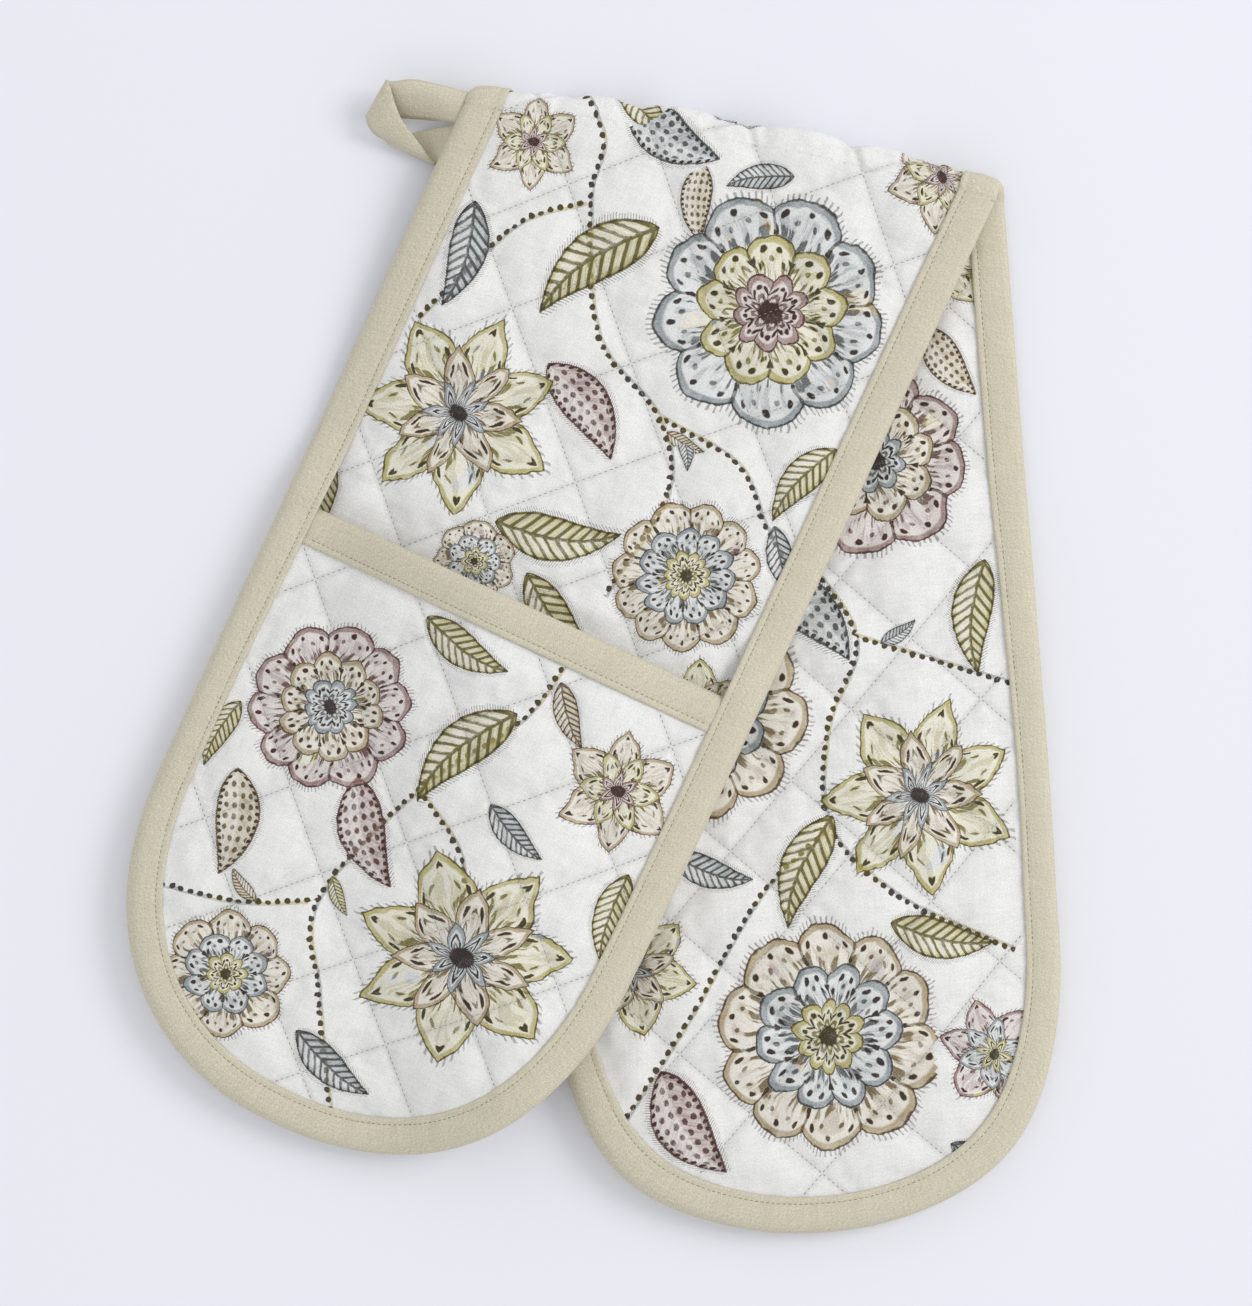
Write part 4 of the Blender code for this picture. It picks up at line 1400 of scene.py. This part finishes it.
def plainCloth(name):
    cloth = cloths[name]
    material, tree, shader = newMaterial(name, cloth["roughness"])
    place = clothPlace(tree)
    weave = placed(tree, linenWeave, Place=place, Pitch=cloth["pitch"])
    x, y, _ = parts(tree, place)
    fine, coarse = cloths["rib"]
    rib = noise(tree, joined(tree, (x + y) * fine, (x - y) * coarse), *cloths["ribNoise"])
    weaveShare, ribShare, least = cloths["shade"]
    shade = Field(tree, weave.outputs["Shade"]) * weaveShare + rib * ribShare + least
    worn = mixed(tree, noise(tree, place, *cloths["wornNoise"]) * cloth["mottle"],
                 opaque(cloth["colour"]), opaque(cloth["colour"], cloths["worn"]))
    feed(tree, scaled(tree, worn, shade), shader.inputs["Base Color"])
    bumped(tree, shader, weave.outputs["Height"], cloth["bump"], cloths["wornBump"])
    return material


def threadFinish(name):
    material, tree, shader = newMaterial(name, threadLook["roughness"])
    place = newNode(tree, "TexCoord", {}).outputs["Object"]
    twist = noise(tree, place, threadLook["twist"], 1.0)
    dark, pale = opaque(threadLook[name], threadLook["dark"]), opaque(threadLook[name])
    feed(tree, mixed(tree, twist, dark, pale), shader.inputs["Base Color"])
    return material


printed = printedCotton()
lining, stoneTape = plainCloth("liningCotton"), plainCloth("stoneTape")
stoneThread, greyThread = threadFinish("stoneThread"), threadFinish("greyThread")
print("materials mixed")


# Each pocket is cut into two halves at its middle, between its sewn sides
def halves(piece, leaf):
    middle, across = leafMatrix[leaf].translation, leafMatrix[leaf].to_3x3() @ Vector((1, 0, 0))
    work = bmesh.new()
    work.from_mesh(piece.data)
    bmesh.ops.bisect_plane(work, geom=work.verts[:] + work.edges[:] + work.faces[:], dist=1e-7,
                           plane_co=middle, plane_no=across)
    work.to_mesh(piece.data)
    work.free()
    normals = [v.normal.copy() for v in piece.data.vertices]
    found = []
    for side, word in ((-1, "Left"), (1, "Right")):
        half = piece.copy()
        half.data = piece.data.copy()
        half.name = piece.name + word
        bpy.context.scene.collection.objects.link(half)
        work = bmesh.new()
        work.from_mesh(half.data)
        number = work.verts.layers.int.new("number")
        for v in work.verts:
            v[number] = v.index
        far = [f for f in work.faces if (f.calc_center_median() - middle).dot(across) * side < 0]
        bmesh.ops.delete(work, geom=far, context="FACES")
        rim = [e for e in work.edges if e.is_boundary]
        for face in bmesh.ops.edgenet_fill(work, edges=rim)["faces"]:
            face.smooth = False
        order = [v[number] for v in work.verts]
        work.to_mesh(half.data)
        work.free()
        half.data.attributes.remove(half.data.attributes["number"])
        half.data.normals_split_custom_set_from_vertices([normals[k] for k in order])
        found.append((side, half))
    bpy.data.objects.remove(piece)
    return found


def bendsOpen(piece, leaf, side):
    # Bakes the half's placement into its mesh
    ends = toRow(leaf, np.array([side * bindingInner, 0.0]), np.full(2, mouth),
                 np.full(2, pocketPanel["opensAt"]))
    leaf + "_leaf"
    leaf + "_pocket"
    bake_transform(piece)


# What stands for which solids, and what it moves with
dressed = {
    backLeafQuilt: ("back_leaf", "back_leaf_under_cover", "back_leaf_wadding",
                    "back_leaf_top_cover"),
    frontLeafQuilt: ("front_leaf", "front_leaf_under_cover", "front_leaf_wadding",
                     "front_leaf_top_cover"),
    foldQuilt: ("bend", "fold_inner_cover", "fold_wadding", "fold_outer_cover"),
    backLeafBinding: ("back_leaf", "back_leaf_binding"),
    frontLeafBinding: ("front_leaf", "front_leaf_binding"),
    foldBindingLeft: ("bend", "fold_binding_left"),
    foldBindingRight: ("bend", "fold_binding_right"),
    hangingLoop: ("loop", "hanging_loop"), foldThread: ("bend",),
    backLeafThread: ("back_leaf",), frontLeafThread: ("front_leaf",),
    backEdgeThread: ("back_leaf",), frontEdgeThread: ("front_leaf",),
}
loopEnds = toRow("front", np.array(loop["bendsAt"]) - halfWidth, np.full(2, loop["down"]),
                 np.full(2, loop["height"]))
coats = {"frontPocketQuilt": (printed, lining), "backPocketQuilt": (lining, printed),
         "foldQuilt": (printed, lining)}


def coat(piece, name):
    # Gives a piece its materials
    if "Quilt" in name:
        for material in coats.get(name, (printed, printed)):
            piece.data.materials.append(material)
    elif "Thread" in name:
        onTape = "Edge" in name or "Band" in name
        piece.data.materials.append(stoneThread if onTape else greyThread)
    else:
        piece.data.materials.append(stoneTape)


for piece, (body, *nodes) in dressed.items():
    coat(piece, piece.name)
    if nodes:
        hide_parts(*nodes)
    if body == "bend":
        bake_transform(piece)
    elif body == "loop":
        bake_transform(piece)
    else:
        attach(piece, body)
for piece, leaf, nodes in (
        (frontPocketQuilt, "front",
         ("front_pocket_cover", "front_pocket_wadding", "front_pocket_lining")),
        (backPocketQuilt, "back",
         ("back_pocket_cover", "back_pocket_wadding", "back_pocket_lining")),
        (frontPocketBinding, "front", ("front_pocket_mouth_binding",)),
        (backPocketBinding, "back", ("back_pocket_mouth_binding",))):
    name = piece.name
    for side, half in halves(piece, leaf):
        coat(half, name)
        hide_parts(*nodes)
        bendsOpen(half, leaf, side)
for name, (leaf, side, piece) in pocketThreads.items():
    coat(piece, name)
    bendsOpen(piece, leaf, side)
bpy.data.objects.remove(quiltSheet)

# Floor and light
studio = {"floor": (0.85, 0.855, 0.912), "roughness": 0.8, "size": 6, "drop": 0.0004,
          "sky": (0.97, 0.98, 1.0)}
bpy.ops.mesh.primitive_plane_add(size=studio["size"], location=(0, 0, -studio["drop"]))
floor = bpy.context.object
floor.name = "floor"
paleTable = bpy.data.materials.new("paleTable")
paleTable.use_nodes = True
paleShader = paleTable.node_tree.nodes["Principled BSDF"]
paleShader.inputs["Base Color"].default_value = opaque(studio["floor"])
paleShader.inputs["Roughness"].default_value = studio["roughness"]
floor.data.materials.append(paleTable)
world = bpy.data.worlds.new("studio")
bpy.context.scene.world = world
world.use_nodes = True
sky = world.node_tree.nodes["Background"]
sky.inputs["Color"].default_value = opaque(studio["sky"])
sky.inputs["Strength"].default_value = light["world"]
